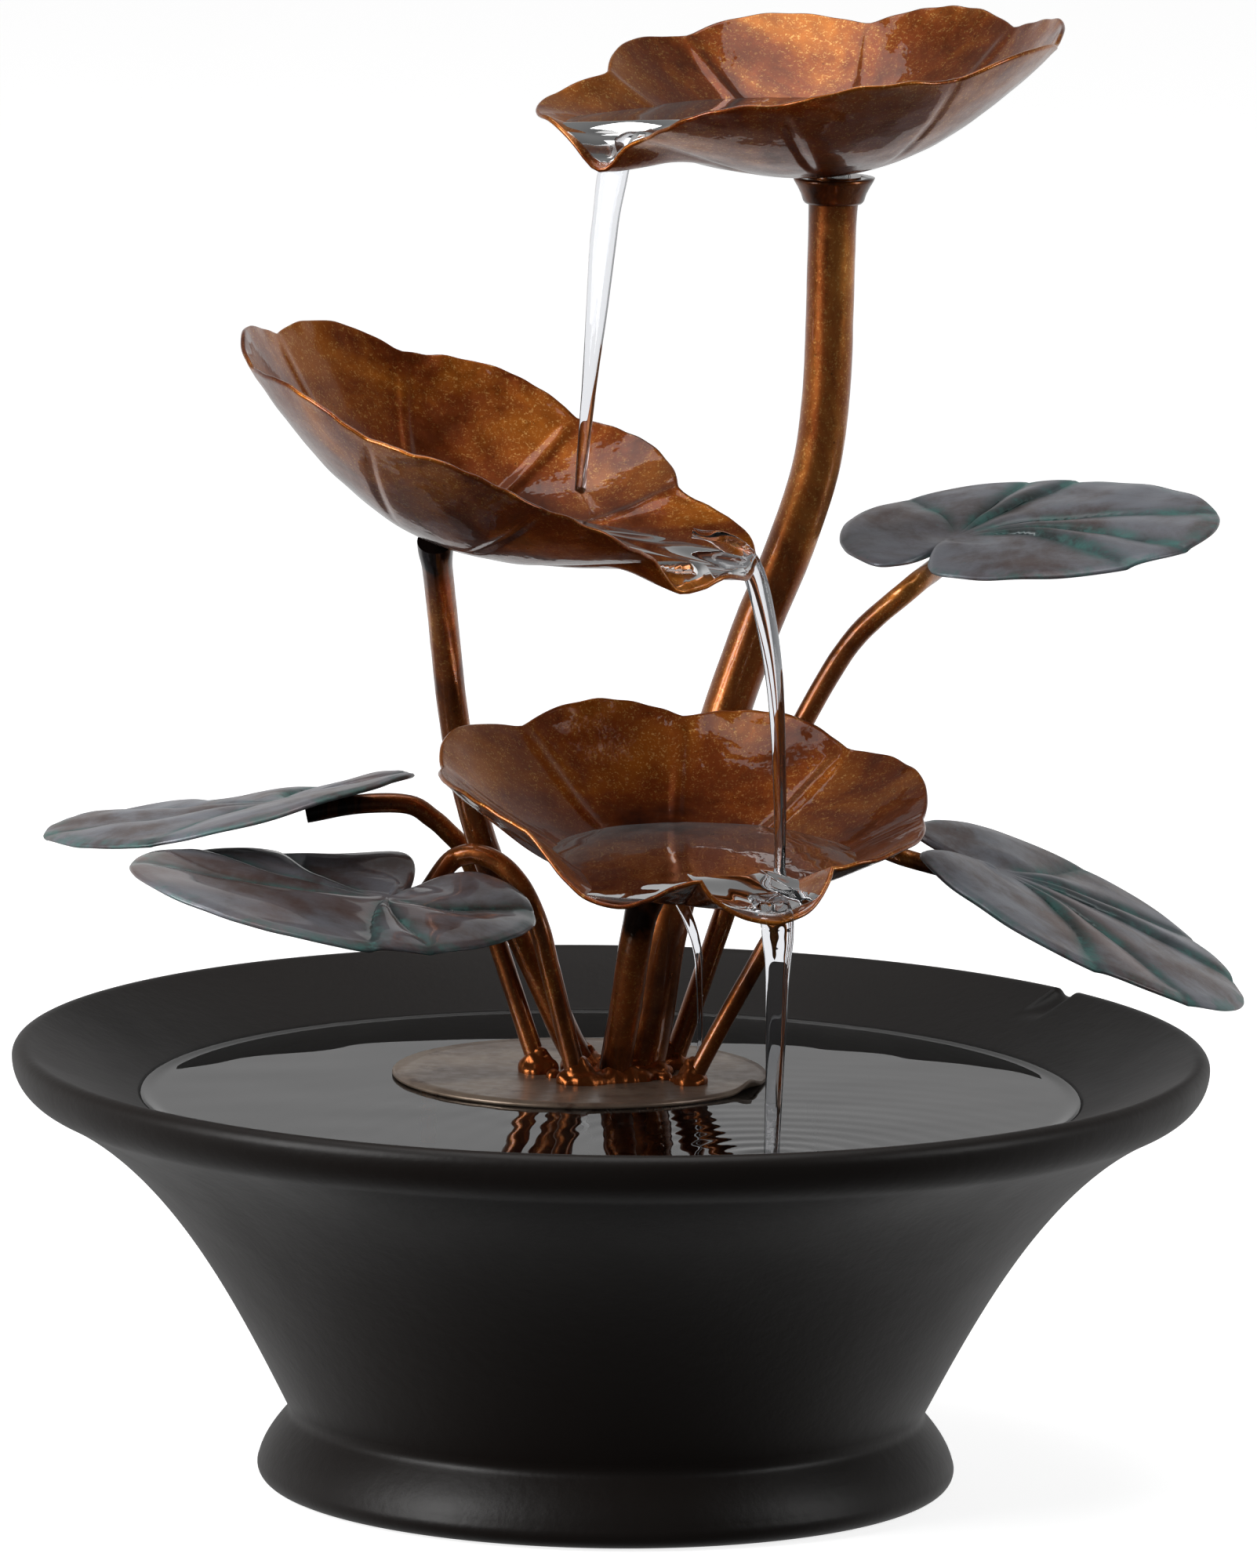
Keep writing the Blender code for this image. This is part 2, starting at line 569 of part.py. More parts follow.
def dish_plan(centre, tilt, spout, half_width, reach, drop, bent_lobe=None, dip=0.0):
    """A dish: the spout's direction, width, reach and drop, and a lobe whose rim was bent down by hand."""
    return {"frame": frame_at(centre, (*tilt, 0)), "spout": math.radians(spout),
            "half_width": math.radians(half_width), "reach": reach * MM, "drop": drop * MM,
            "bent_lobe": bent_lobe, "dip": dip * MM}


TOP_DISH = dish_plan((40.6, 35, 249.0), (4.0, -7.4), 190.8, 29, 11, 4)
MIDDLE_DISH = dish_plan((-34.6, -14, 184.4), (5.0, 21.1), 356.6, 29, 12, 0)
LOWER_DISH = dish_plan((11.1, -16, 117.9), (9.8, 5.2), 293.0, 20, 5, 8, bent_lobe=6, dip=8)


def crease_angles(plan):
    """The eight creases, counted from the middle of the spout: evenly spaced, with the spout's own width."""
    step = 2 * math.pi / DISH_LOBES
    angles = [plan["half_width"]]
    angles += [step * (i + 1.5) for i in range(DISH_LOBES - 2)]
    angles.append(2 * math.pi - plan["half_width"])
    return angles


def rim_at(plan, angle):
    """(radius, height) of the rim at an angle counted from the middle of the spout."""
    angle = angle % (2 * math.pi)
    creases = crease_angles(plan)
    if angle <= creases[0] or angle >= creases[-1]:
        off_middle = min(angle, 2 * math.pi - angle) / plan["half_width"]
        share = math.cos(off_middle * math.pi / 2) ** 2
        return DISH_RADIUS + plan["reach"] * share, DISH_DEPTH - plan["drop"] * share
    for lobe, (left, right) in enumerate(zip(creases, creases[1:])):
        if left <= angle <= right:
            share = math.sin(math.pi * (angle - left) / (right - left))
            lift = -plan["dip"] if lobe == plan["bent_lobe"] else LOBE_LIFT
            return DISH_RADIUS + LOBE_BULGE * share, DISH_DEPTH + lift * share
    return DISH_RADIUS, DISH_DEPTH


def dish_sheet(name, plan, hole=0.0):
    """The dish's under surface as one sheet, in the dish's own frame."""
    spokes = []
    creases = [0.0] + crease_angles(plan) + [2 * math.pi]
    per_lobe = DISH_SPOKES // (DISH_LOBES + 2) + 1
    for left, right in zip(creases, creases[1:]):
        spokes += [left + (right - left) * k / per_lobe for k in range(per_lobe)]
    first_ring = 0.22
    shares = [first_ring + (1 - first_ring) * k / DISH_RINGS for k in range(DISH_RINGS + 1)]
    points = []
    for share in shares:
        for spoke in spokes:
            rim_radius, rim_height = rim_at(plan, spoke)
            even = share ** 2
            radius = share * (DISH_RADIUS + (rim_radius - DISH_RADIUS) * even)
            height = share ** DISH_CURVE * (DISH_DEPTH + (rim_height - DISH_DEPTH) * even)
            angle = spoke + plan["spout"]
            points.append((radius * math.cos(angle), radius * math.sin(angle), height))
    count = len(spokes)
    faces = []
    for ring in range(DISH_RINGS):
        for k in range(count):
            a = ring * count + k
            b = ring * count + (k + 1) % count
            faces.append((a, a + count, b + count, b))
    if hole:
        start = len(points)
        for spoke in spokes:
            angle = spoke + plan["spout"]
            points.append((hole * math.cos(angle), hole * math.sin(angle), 0))
        for k in range(count):
            n = (k + 1) % count
            faces.append((start + k, k, n, start + n))
    else:
        centre = len(points)
        points.append((0, 0, 0))
        faces += [(centre, k, (k + 1) % count) for k in range(count)]
    return mesh_from(name, points, faces, outward=False)


def thicken(obj, thickness):
    """Gives a sheet its metal thickness on its upper side."""
    modifier = obj.modifiers.new("sheet_metal", "SOLIDIFY")
    modifier.thickness = thickness
    modifier.offset = 1
    modifier.use_even_offset = True


def make_dishes(looks):
    for name, plan, hole in (("top_dish", TOP_DISH, HOSE_RADIUS + 0.0009), ("middle_dish", MIDDLE_DISH, 0),
                             ("lower_dish", LOWER_DISH, 0)):
        dish = add_object(name, dish_sheet(name, plan, hole), looks["dish"])
        dish.matrix_world = plan["frame"]
        thicken(dish, DISH_SHEET)


# ---------------------------------------------------------------- plant: leaves

def leaf_plan(centre, turn, half_size, bend, hub, notch):
    return {"frame": frame_at(centre, turn), "half_size": [v * MM for v in half_size],
            "bend": [v * MM for v in bend], "hub": [v * MM for v in hub], "notch": math.radians(notch)}


LEAVES = {
    "upper_right_leaf": leaf_plan((79.4, 44, 178.8), (9.5, -3.9, -1.9), (36.3, 29.8), (-0.1, 0.1),
                                  (-14.7, -3.7), 244),
    "lower_right_leaf": leaf_plan((88.9, 8, 109.7), (15.9, 23.3, 22.0), (36.6, 31.1), (0.5, -0.3),
                                  (-15.4, 8.0), 186),
    "left_back_leaf": leaf_plan((-73.2, 24, 124.8), (1.1, -11.7, -27.2), (37.9, 31.0), (-1.4, 0.9),
                                (13.0, 4.0), 28),
    "left_front_leaf": leaf_plan((-53.4, -18, 115.4), (8.2, 6.6, 25.0), (39.9, 30.9), (-0.8, 0.5),
                                 (12.7, 2.1), 41),
}
NOTCH_DEPTH = 0.72
NOTCH_WIDTH = math.radians(11)


def leaf_height(plan, u, v):
    """How far the bent plate lies above its own flat frame."""
    return -plan["bend"][0] * (u / LEAF_BEND_SPAN) ** 2 - plan["bend"][1] * (v / LEAF_BEND_SPAN) ** 2


def leaf_reach(plan, angle):
    """From the hub to the leaf's edge: an oval with a notch towards the stem."""
    a, b = plan["half_size"]
    u, v = plan["hub"]
    du, dv = math.cos(angle), math.sin(angle)
    qa = (du / a) ** 2 + (dv / b) ** 2
    qb = 2 * (u * du / a ** 2 + v * dv / b ** 2)
    qc = (u / a) ** 2 + (v / b) ** 2 - 1
    reach = (-qb + math.sqrt(qb * qb - 4 * qa * qc)) / (2 * qa)
    off_notch = math.remainder(angle - plan["notch"], 2 * math.pi)
    return reach * (1 - NOTCH_DEPTH * math.exp(-(off_notch / NOTCH_WIDTH) ** 2))


def leaf_sheet(name, plan):
    u0, v0 = plan["hub"]
    points = [(u0, v0, leaf_height(plan, u0, v0))]
    for ring in range(1, LEAF_RINGS + 1):
        for k in range(LEAF_SPOKES):
            angle = plan["notch"] + 2 * math.pi * k / LEAF_SPOKES
            reach = leaf_reach(plan, angle) * ring / LEAF_RINGS
            u = u0 + reach * math.cos(angle)
            v = v0 + reach * math.sin(angle)
            points.append((u, v, leaf_height(plan, u, v)))
    faces = [(0, 1 + k, 1 + (k + 1) % LEAF_SPOKES) for k in range(LEAF_SPOKES)]
    for ring in range(LEAF_RINGS - 1):
        for k in range(LEAF_SPOKES):
            a = 1 + ring * LEAF_SPOKES + k
            b = 1 + ring * LEAF_SPOKES + (k + 1) % LEAF_SPOKES
            faces.append((a, a + LEAF_SPOKES, b + LEAF_SPOKES, b))
    return mesh_from(name, points, faces, outward=False)


def under_leaf(plan, share, depth):
    """A point below the plate, a share of the way from the hub to the leaf's full edge at the notch."""
    span = leaf_reach(plan, plan["notch"]) / (1 - NOTCH_DEPTH)
    u = plan["hub"][0] + span * share * math.cos(plan["notch"])
    v = plan["hub"][1] + span * share * math.sin(plan["notch"])
    return plan["frame"] @ Vector((u, v, leaf_height(plan, u, v) - depth))


def make_leaves(looks):
    rests = (0.95, 0.45, 0.02)
    through_notch = (0.62, 0.30, 0.02)
    stems = {
        "upper_right_leaf": ("upper_right_stem", UPPER_RIGHT_ROUTE, 0.0021, rests),
        "lower_right_leaf": ("lower_right_stem", LOWER_RIGHT_ROUTE, 0.0017, rests),
        "left_back_leaf": ("left_back_stem", LEFT_BACK_ROUTE, 0.0019, rests[1:]),
        "left_front_leaf": ("left_front_stem", LEFT_FRONT_ROUTE, 0.0020, through_notch),
    }
    for name, plan in LEAVES.items():
        leaf = add_object(name, leaf_sheet(name, plan), looks["leaf"])
        leaf.matrix_world = plan["frame"]
        thicken(leaf, LEAF_SHEET)
        stem, route, radius, shares = stems[name]
        depth = radius + GAP * 2
        ends = [tuple(under_leaf(plan, share, depth + share * MM) / MM) for share in shares]
        mesh = swept(stem, smooth_route(in_metres((*route, *ends)), 1), radius, 8)
        add_object(stem, mesh, looks["copper"])


# ---------------------------------------------------------------- assembly

def main():
    for obj in list(bpy.data.objects):
        bpy.data.objects.remove(obj)
    looks = make_finishes()
    make_basin(looks)
    make_motor(looks)
    make_rotor(looks)
    make_volute(looks)
    make_intake(looks)
    make_suction_cups(looks)
    make_plate_and_legs(looks)
    make_dish_stems(looks)
    make_dishes(looks)
    make_leaves(looks)


main()
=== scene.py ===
"""Looks of the tabletop water fountain: glazed basin, copper plant, patinated leaves and running water."""

import json
import logging
import math
from dataclasses import dataclass, field
from enum import Enum

import bpy
import numpy as np
from mathutils import Euler, Matrix, Vector


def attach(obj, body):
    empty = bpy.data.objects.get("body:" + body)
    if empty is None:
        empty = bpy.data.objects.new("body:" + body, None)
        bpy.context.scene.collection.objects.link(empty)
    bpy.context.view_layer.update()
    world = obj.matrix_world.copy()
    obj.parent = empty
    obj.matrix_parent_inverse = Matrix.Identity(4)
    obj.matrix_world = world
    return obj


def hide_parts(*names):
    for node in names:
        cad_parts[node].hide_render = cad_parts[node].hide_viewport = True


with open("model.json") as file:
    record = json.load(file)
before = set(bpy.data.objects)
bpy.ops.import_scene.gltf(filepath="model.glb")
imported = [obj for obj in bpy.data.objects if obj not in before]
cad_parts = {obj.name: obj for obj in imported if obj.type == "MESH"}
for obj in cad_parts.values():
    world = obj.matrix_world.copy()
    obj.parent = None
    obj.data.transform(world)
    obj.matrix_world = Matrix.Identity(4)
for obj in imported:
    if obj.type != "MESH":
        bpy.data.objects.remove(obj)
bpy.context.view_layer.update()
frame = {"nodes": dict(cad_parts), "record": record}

MM = 0.001
log = logging.getLogger("fountain")

Colour = tuple[float, float, float]
Pair = tuple[float, float]
Point = tuple[float, float, float]


class Body(Enum):
    """The rigid bodies of the fountain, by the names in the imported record."""

    BOWL = "bowl"
    PUMP = "pump"
    ROTOR = "rotor"
    INTAKE = "intake"
    DIAL = "dial"
    PLANT = "plant"


def srgb(red: int, green: int, blue: int) -> Colour:
    """A colour as a paint chart gives it, from 0 to 255, turned into linear light."""
    parts = [value / 255 for value in (red, green, blue)]
    return tuple(v / 12.92 if v <= 0.04045 else ((v + 0.055) / 1.055) ** 2.4 for v in parts)


# ---------------------------------------------------------------- finishes


class ShaderNodes:
    """A shader's node tree, built a node at a time."""

    def __init__(self, tree: bpy.types.NodeTree) -> None:
        """Takes up a tree."""
        self.tree = tree

    def add(self, kind: str) -> bpy.types.Node:
        """Adds a node."""
        return self.tree.nodes.new(kind)

    def feed(self, socket: bpy.types.NodeSocket, value: object) -> None:
        """Links a socket to another node's output, or sets its constant."""
        if isinstance(value, bpy.types.NodeSocket):
            self.tree.links.new(value, socket)
        elif isinstance(value, tuple) and len(value) == 3 and socket.type == "RGBA":
            socket.default_value = (*value, 1.0)
        else:
            socket.default_value = value

    def sums(self, kind: str, a: object, b: object, clamp: bool = False) -> bpy.types.NodeSocket:
        """An operation on two numbers.

        Args:
            kind: the Math node's name for the operation.
            a: the first number, or a node's output.
            b: the second one.
            clamp: holds the result between 0 and 1.

        Returns:
            The result's socket.
        """
        node = self.add("ShaderNodeMath")
        node.operation = kind
        node.use_clamp = clamp
        self.feed(node.inputs[0], a)
        self.feed(node.inputs[1], b)
        return node.outputs[0]

    def times(self, a: object, b: object) -> bpy.types.NodeSocket:
        """The product of two numbers."""
        return self.sums("MULTIPLY", a, b)

    def span(self, value: object, low: float, high: float, to_low: float = 0.0,
             to_high: float = 1.0) -> bpy.types.NodeSocket:
        """Maps a range of a number on to another range, smoothly, and holds it there.

        Args:
            value: the number, or a node's output.
            low: where the range starts.
            high: where it ends.
            to_low: what the start becomes.
            to_high: what the end becomes.

        Returns:
            The result's socket.
        """
        node = self.add("ShaderNodeMapRange")
        node.interpolation_type = "SMOOTHSTEP"
        self.feed(node.inputs["Value"], value)
        for name, number in (("From Min", low), ("From Max", high), ("To Min", to_low), ("To Max", to_high)):
            node.inputs[name].default_value = number
        return node.outputs["Result"]


class Recipe(ShaderNodes):
    """One material: its nodes and its Principled shader."""

    def __init__(self, name: str) -> None:
        """Starts a material with a Principled shader."""
        self.material = bpy.data.materials.new(name)
        self.material.use_nodes = True
        super().__init__(self.material.node_tree)
        self.shader = self.tree.nodes["Principled BSDF"]
        self.place = self.add("ShaderNodeTexCoord").outputs["Object"]

    def set(self, **values: object) -> None:
        """Sets or links the shader's inputs; an underscore in a name stands for a space."""
        for name, value in values.items():
            self.feed(self.shader.inputs[name.replace("_", " ")], value)

    def noise(self, scale: float, detail: float = 2.0, rough: float = 0.5, stretch: Point = (1, 1, 1),
              warp: float = 0.0) -> bpy.types.NodeSocket:
        """A cloud pattern.

        Args:
            scale: clouds per metre.
            detail: octaves.
            rough: how strong the finer octaves are.
            stretch: a factor on each axis, for streaks.
            warp: how far the pattern is bent by itself.

        Returns:
            The pattern, from 0 to 1.
        """
        mapping = self.add("ShaderNodeMapping")
        mapping.inputs["Scale"].default_value = stretch
        self.tree.links.new(self.place, mapping.inputs["Vector"])
        node = self.add("ShaderNodeTexNoise")
        self.tree.links.new(mapping.outputs["Vector"], node.inputs["Vector"])
        node.inputs["Scale"].default_value = scale
        node.inputs["Detail"].default_value = detail
        node.inputs["Roughness"].default_value = rough
        node.inputs["Distortion"].default_value = warp
        return node.outputs["Fac"]

    def spots(self, scale: float, size: float) -> bpy.types.NodeSocket:
        """Round spots scattered at so many per metre, 1 in a spot's middle and 0 past its size."""
        node = self.add("ShaderNodeTexVoronoi")
        self.tree.links.new(self.place, node.inputs["Vector"])
        node.inputs["Scale"].default_value = scale
        return self.span(node.outputs["Distance"], size, 0.0, 0.0, 1.0)

    def attribute(self, name: str) -> bpy.types.NodeSocket:
        """A number stored on the mesh's points."""
        node = self.add("ShaderNodeAttribute")
        node.attribute_name = name
        return node.outputs["Fac"]

    def blend(self, factor: object, a: object, b: object) -> bpy.types.NodeSocket:
        """A colour between two colours.

        Args:
            factor: 0 for the first colour and 1 for the second.
            a: the first colour, or a node's output.
            b: the second one.

        Returns:
            The colour's socket.
        """
        node = self.add("ShaderNodeMix")
        node.data_type = "RGBA"
        self.feed(node.inputs[0], factor)
        self.feed(node.inputs[6], a)
        self.feed(node.inputs[7], b)
        return node.outputs[2]

    def ramp(self, factor: object, stops: list[tuple[float, Colour]]) -> bpy.types.NodeSocket:
        """A colour read off a row of stops.

        Args:
            factor: where on the row, from 0 to 1.
            stops: each stop's place and colour.

        Returns:
            The colour's socket.
        """
        node = self.add("ShaderNodeValToRGB")
        self.feed(node.inputs["Fac"], factor)
        row = node.color_ramp.elements
        for i, (position, colour) in enumerate(stops):
            stop = row[i] if i < len(row) else row.new(position)
            stop.position = position
            stop.color = (*colour, 1.0)
        return node.outputs["Color"]

    def bump(self, height: object, depth: float, under: object = None) -> bpy.types.NodeSocket:
        """A relief in the shading.

        Args:
            height: the relief, from 0 to 1.
            depth: how deep it is, in metres.
            under: another relief that this one is laid over.

        Returns:
            The normal's socket.
        """
        node = self.add("ShaderNodeBump")
        node.inputs["Distance"].default_value = depth
        node.inputs["Strength"].default_value = 1.0
        self.feed(node.inputs["Height"], height)
        if under is not None:
            self.feed(node.inputs["Normal"], under)
        return node.outputs["Normal"]


@dataclass(frozen=True)
class SatinGlaze:
    """Charcoal glaze with a soft sheen and a faint orange-peel surface."""

    name: str = "satin_charcoal_glaze"
    colour: Colour = srgb(20, 15, 13)
    lighter: Colour = srgb(25, 20, 17)

    def make(self) -> bpy.types.Material:
        """Builds the material."""
        recipe = Recipe(self.name)
        cloud = recipe.noise(28, 4, 0.6)
        grain = recipe.noise(1300, 3, 0.6)
        recipe.set(Base_Color=recipe.blend(cloud, self.colour, self.lighter),
                   Roughness=recipe.span(recipe.noise(60, 5, 0.6), 0.3, 0.7, 0.42, 0.46),
                   Specular_IOR_Level=0.34)
        peel = recipe.bump(recipe.noise(420, 2, 0.5), 0.00006)
        recipe.set(Normal=recipe.bump(grain, 0.00002, peel))
        return recipe.material


class Tint(Enum):
    """What a copper finish takes its darkness from."""

    RISE = "rise"
    # the stems' tone along their length, which holds painted shade at their top ends under the dishes and
    # leaves
    TINT = "tint"


@dataclass(frozen=True)
class FlameCopper:
    """Copper heated to reds and golds, with gold flecks, under clear gloss lacquer."""

    name: str
    tint: Tint
    dark: Colour
    middle: Colour
    gold: Colour
    fleck: Colour = srgb(255, 205, 120)
    fleck_share: float = 0.5
    roughness: float = 0.34
    cloud_scale: float = 42.0
    stretch: Point = (1, 1, 1)

    def make(self) -> bpy.types.Material:
        """Builds the material."""
        recipe = Recipe(self.name)
        # On the stems this level holds painted shade at their top ends, where they run in under a dish or
        # leaf.
        level = recipe.attribute(self.tint.value)
        cloud = recipe.noise(self.cloud_scale, 5, 0.62, self.stretch, 0.6)
        shade = recipe.sums("ADD", recipe.times(level, 0.56),
                            recipe.times(recipe.sums("SUBTRACT", cloud, 0.5), 1.7), clamp=True)
        flame = recipe.ramp(shade, [(0.0, self.dark), (0.42, self.middle), (0.78, self.gold)])
        grain = recipe.span(recipe.noise(1100, 2, 0.7), 0.45, 0.62)
        fine = recipe.span(recipe.noise(2600, 1, 0.5), 0.48, 0.66)
        share = recipe.times(recipe.times(grain, fine), self.fleck_share)
        flecks = recipe.times(share, recipe.span(shade, 0.1, 0.7))
        flecked = recipe.blend(flecks, flame, self.fleck)
        pits = recipe.spots(260, 0.10)
        recipe.set(Base_Color=recipe.blend(recipe.times(pits, 0.7), flecked, self.dark),
                   Metallic=0.82,
                   Roughness=recipe.span(recipe.noise(300, 4, 0.7), 0.3, 0.7, self.roughness - 0.07,
                                         self.roughness + 0.1),
                   Coat_Weight=1.0, Coat_Roughness=0.035, Coat_IOR=1.38)
        recipe.set(Normal=recipe.bump(recipe.noise(900, 3, 0.6), 0.00004))
        recipe.set(Coat_Normal=recipe.bump(recipe.noise(130, 3, 0.55), 0.00018))
        return recipe.material


@dataclass(frozen=True)
class BareEdge:
    """The sheared copper edge where the lacquer has worn through."""

    name: str = "worn_copper_edge"
    bright: Colour = srgb(232, 160, 112)
    dull: Colour = srgb(120, 62, 34)

    def make(self) -> bpy.types.Material:
        """Builds the material."""
        recipe = Recipe(self.name)
        wear = recipe.span(recipe.noise(330, 4, 0.7), 0.38, 0.6)
        recipe.set(Base_Color=recipe.blend(wear, self.dull, self.bright), Metallic=0.9, Roughness=0.32,
                   Coat_Weight=0.6, Coat_Roughness=0.08)
        recipe.set(Normal=recipe.bump(recipe.noise(1200, 2, 0.6), 0.00005))
        return recipe.material


@dataclass(frozen=True)
class LeafPatina:
    """Slate and purple-brown patina, with verdigris in the veins and along the edges."""

    name: str
    wet: float = 0.0
    slate: Colour = srgb(140, 143, 152)
    umber: Colour = srgb(86, 68, 64)
    rust: Colour = srgb(118, 80, 62)
    verdigris: Colour = srgb(86, 140, 134)
    deep: Colour = srgb(40, 70, 70)

    def make(self) -> bpy.types.Material:
        """Builds the material."""
        recipe = Recipe(self.name)
        cloud = recipe.noise(46, 6, 0.62, warp=0.4)
        streak = recipe.noise(300, 5, 0.65, (1.0, 0.35, 1.0))
        base = recipe.blend(recipe.span(cloud, 0.36, 0.62), self.umber, self.slate)
        base = recipe.blend(recipe.times(recipe.span(streak, 0.42, 0.7), 0.35), base, self.slate)
        warm = recipe.span(recipe.noise(24, 3, 0.5), 0.52, 0.68)
        base = recipe.blend(recipe.times(warm, 0.45), base, self.rust)
        vein = recipe.attribute("vein")
        edge = recipe.attribute("edge")
        patch = recipe.span(recipe.noise(150, 6, 0.7), 0.44, 0.62)
        base = recipe.blend(recipe.times(vein, 0.75), base, self.deep)
        green = recipe.times(recipe.sums("ADD", recipe.times(vein, 0.95),
                                                    recipe.times(edge, 0.75), clamp=True), patch)
        base = recipe.blend(recipe.times(green, 0.8), base, self.verdigris)
        dots = recipe.times(recipe.spots(420, 0.16), recipe.span(recipe.noise(70, 3, 0.6), 0.5, 0.62))
        base = recipe.blend(recipe.times(dots, 0.8), base, self.verdigris)
        rough = recipe.sums("ADD", green, recipe.noise(180, 4, 0.6))
        recipe.set(Base_Color=base, Metallic=0.45, Roughness=recipe.span(rough, 0.3, 1.2, 0.4, 0.66),
                   Coat_Weight=0.5 + 0.5 * self.wet, Coat_Roughness=0.22 - 0.18 * self.wet)
        relief = recipe.bump(recipe.noise(260, 5, 0.65), 0.00010)
        recipe.set(Normal=recipe.bump(recipe.noise(1500, 2, 0.6), 0.00003, relief))
        return recipe.material


@dataclass(frozen=True)
class BrownSteel:
    """Brown-grey satin metal of the base plate."""

    name: str = "base_plate_brown"
    dark: Colour = srgb(122, 102, 88)
    light: Colour = srgb(168, 148, 130)
    stain: Colour = srgb(70, 40, 26)

    def make(self) -> bpy.types.Material:
        """Builds the material."""
        recipe = Recipe(self.name)
        cloud = recipe.span(recipe.noise(55, 5, 0.6), 0.35, 0.65)
        base = recipe.blend(cloud, self.dark, self.light)
        stain = recipe.span(recipe.noise(140, 5, 0.7), 0.55, 0.7)
        recipe.set(Base_Color=recipe.blend(recipe.times(stain, 0.6), base, self.stain),
                   Metallic=0.55, Roughness=recipe.span(recipe.noise(300, 4, 0.6), 0.3, 0.7, 0.34, 0.5),
                   Coat_Weight=0.3, Coat_Roughness=0.2)
        recipe.set(Normal=recipe.bump(recipe.noise(380, 4, 0.6), 0.00006))
        return recipe.material


@dataclass(frozen=True)
class ClearWater:
    """Clean water, tinted a little where a thin stream is seen against the light."""

    name: str = "clear_water"
    tint: Colour = (1.0, 1.0, 1.0)

    def make(self) -> bpy.types.Material:
        """Builds the material."""
        recipe = Recipe(self.name)
        recipe.set(Base_Color=self.tint, Roughness=0.0, IOR=1.333, Transmission_Weight=1.0)
        return recipe.material


@dataclass(frozen=True)
class Moulded:
    """A moulded, cast, ground or woven stock material with its own grain."""

    name: str
    colour: Colour
    roughness: float
    metallic: float = 0.0
    grain: float = 900.0
    depth: float = 0.00003
    stretch: Point = (1, 1, 1)
    clear: float = 0.0

    def make(self) -> bpy.types.Material:
        """Builds the material."""
        recipe = Recipe(self.name)
        shade = tuple(value * 0.7 for value in self.colour)
        cloud = recipe.noise(self.grain * 0.2, 4, 0.6, self.stretch)
        recipe.set(Base_Color=recipe.blend(cloud, shade, self.colour), Metallic=self.metallic,
                   Roughness=recipe.span(cloud, 0.3, 0.7, self.roughness * 0.85, self.roughness * 1.15),
                   Transmission_Weight=self.clear)
        recipe.set(Normal=recipe.bump(recipe.noise(self.grain, 3, 0.6, self.stretch), self.depth))
        return recipe.material


@dataclass
class Palette:
    """All the fountain's finishes, made once."""

    glaze: bpy.types.Material = field(default_factory=lambda: SatinGlaze().make())
    dish: bpy.types.Material = field(default_factory=lambda: FlameCopper(
        "dish_flame_copper", Tint.RISE, srgb(52, 18, 5), srgb(132, 60, 14), srgb(190, 108, 26)).make())
    dish_back: bpy.types.Material = field(default_factory=lambda: FlameCopper(
        "dish_back_copper", Tint.RISE, srgb(30, 14, 8), srgb(74, 34, 14), srgb(120, 58, 22),
        fleck_share=0.25, roughness=0.3).make())
    stem: bpy.types.Material = field(default_factory=lambda: FlameCopper(
        "stem_copper_bronze", Tint.TINT, srgb(26, 13, 8), srgb(160, 86, 34), srgb(226, 144, 64),
        fleck_share=0.6, cloud_scale=60.0, stretch=(1, 1, 0.4)).make())
    weld: bpy.types.Material = field(default_factory=lambda: Moulded(
        "weld_copper", srgb(158, 88, 42), 0.3, 0.85, 500.0, 0.00012).make())
    edge: bpy.types.Material = field(default_factory=lambda: BareEdge().make())
    leaf: bpy.types.Material = field(default_factory=lambda: LeafPatina("leaf_patina").make())
    wet_leaf: bpy.types.Material = field(default_factory=lambda: LeafPatina("leaf_patina_wet", 0.8).make())
    plate: bpy.types.Material = field(default_factory=lambda: BrownSteel().make())
    water: bpy.types.Material = field(default_factory=lambda: ClearWater().make())
    falling: bpy.types.Material = field(default_factory=lambda: ClearWater(
        "falling_water", (0.84, 0.85, 0.88)).make())
    stock: dict[str, bpy.types.Material] = field(default_factory=dict)

    def __post_init__(self) -> None:
        """Makes the finishes of the pump and the other hidden pieces."""
        for finish in (
            Moulded("foot_felt", (0.03, 0.03, 0.03), 0.95, 0.0, 1600.0, 0.0002),
            Moulded("pump_plastic", (0.012, 0.012, 0.013), 0.42),
            Moulded("impeller_plastic", (0.55, 0.56, 0.58), 0.35),
            Moulded("pump_rubber", (0.02, 0.02, 0.02), 0.75, 0.0, 1200.0, 0.00005),
            Moulded("ferrite_magnet", (0.05, 0.05, 0.055), 0.45, 0.2, 2000.0, 0.00002),
            Moulded("shaft_steel", (0.62, 0.62, 0.62), 0.22, 1.0, 2500.0, 0.00001, (0.1, 4, 4)),
            Moulded("stator_laminations", (0.35, 0.35, 0.36), 0.4, 1.0, 2000.0, 0.0001, (0.05, 1, 0.05)),
            Moulded("coil_winding", (0.48, 0.20, 0.07), 0.35, 0.8, 1800.0, 0.0002, (1, 0.1, 0.1)),
            Moulded("clear_vinyl", (0.9, 0.93, 0.93), 0.1, 0.0, 300.0, 0.00002, (1, 1, 1), 0.9),
        ):
            self.stock[finish.name] = finish.make()


# ---------------------------------------------------------------- mesh helpers


def smooth(value: np.ndarray | float, low: float, high: float) -> np.ndarray:
    """0 below low and 1 above high, with a soft change between them."""
    t = np.clip((np.asarray(value, float) - low) / (high - low), 0, 1)
    return t * t * (3 - 2 * t)


def bell(value: np.ndarray | float, width: float) -> np.ndarray:
    """A bell curve, 1 at 0."""
    return np.exp(-(np.asarray(value, float) / width) ** 2)


def all_round(count: int) -> np.ndarray:
    """So many angles all the way round, in radians."""
    return np.linspace(0, 2 * math.pi, count, endpoint=False)


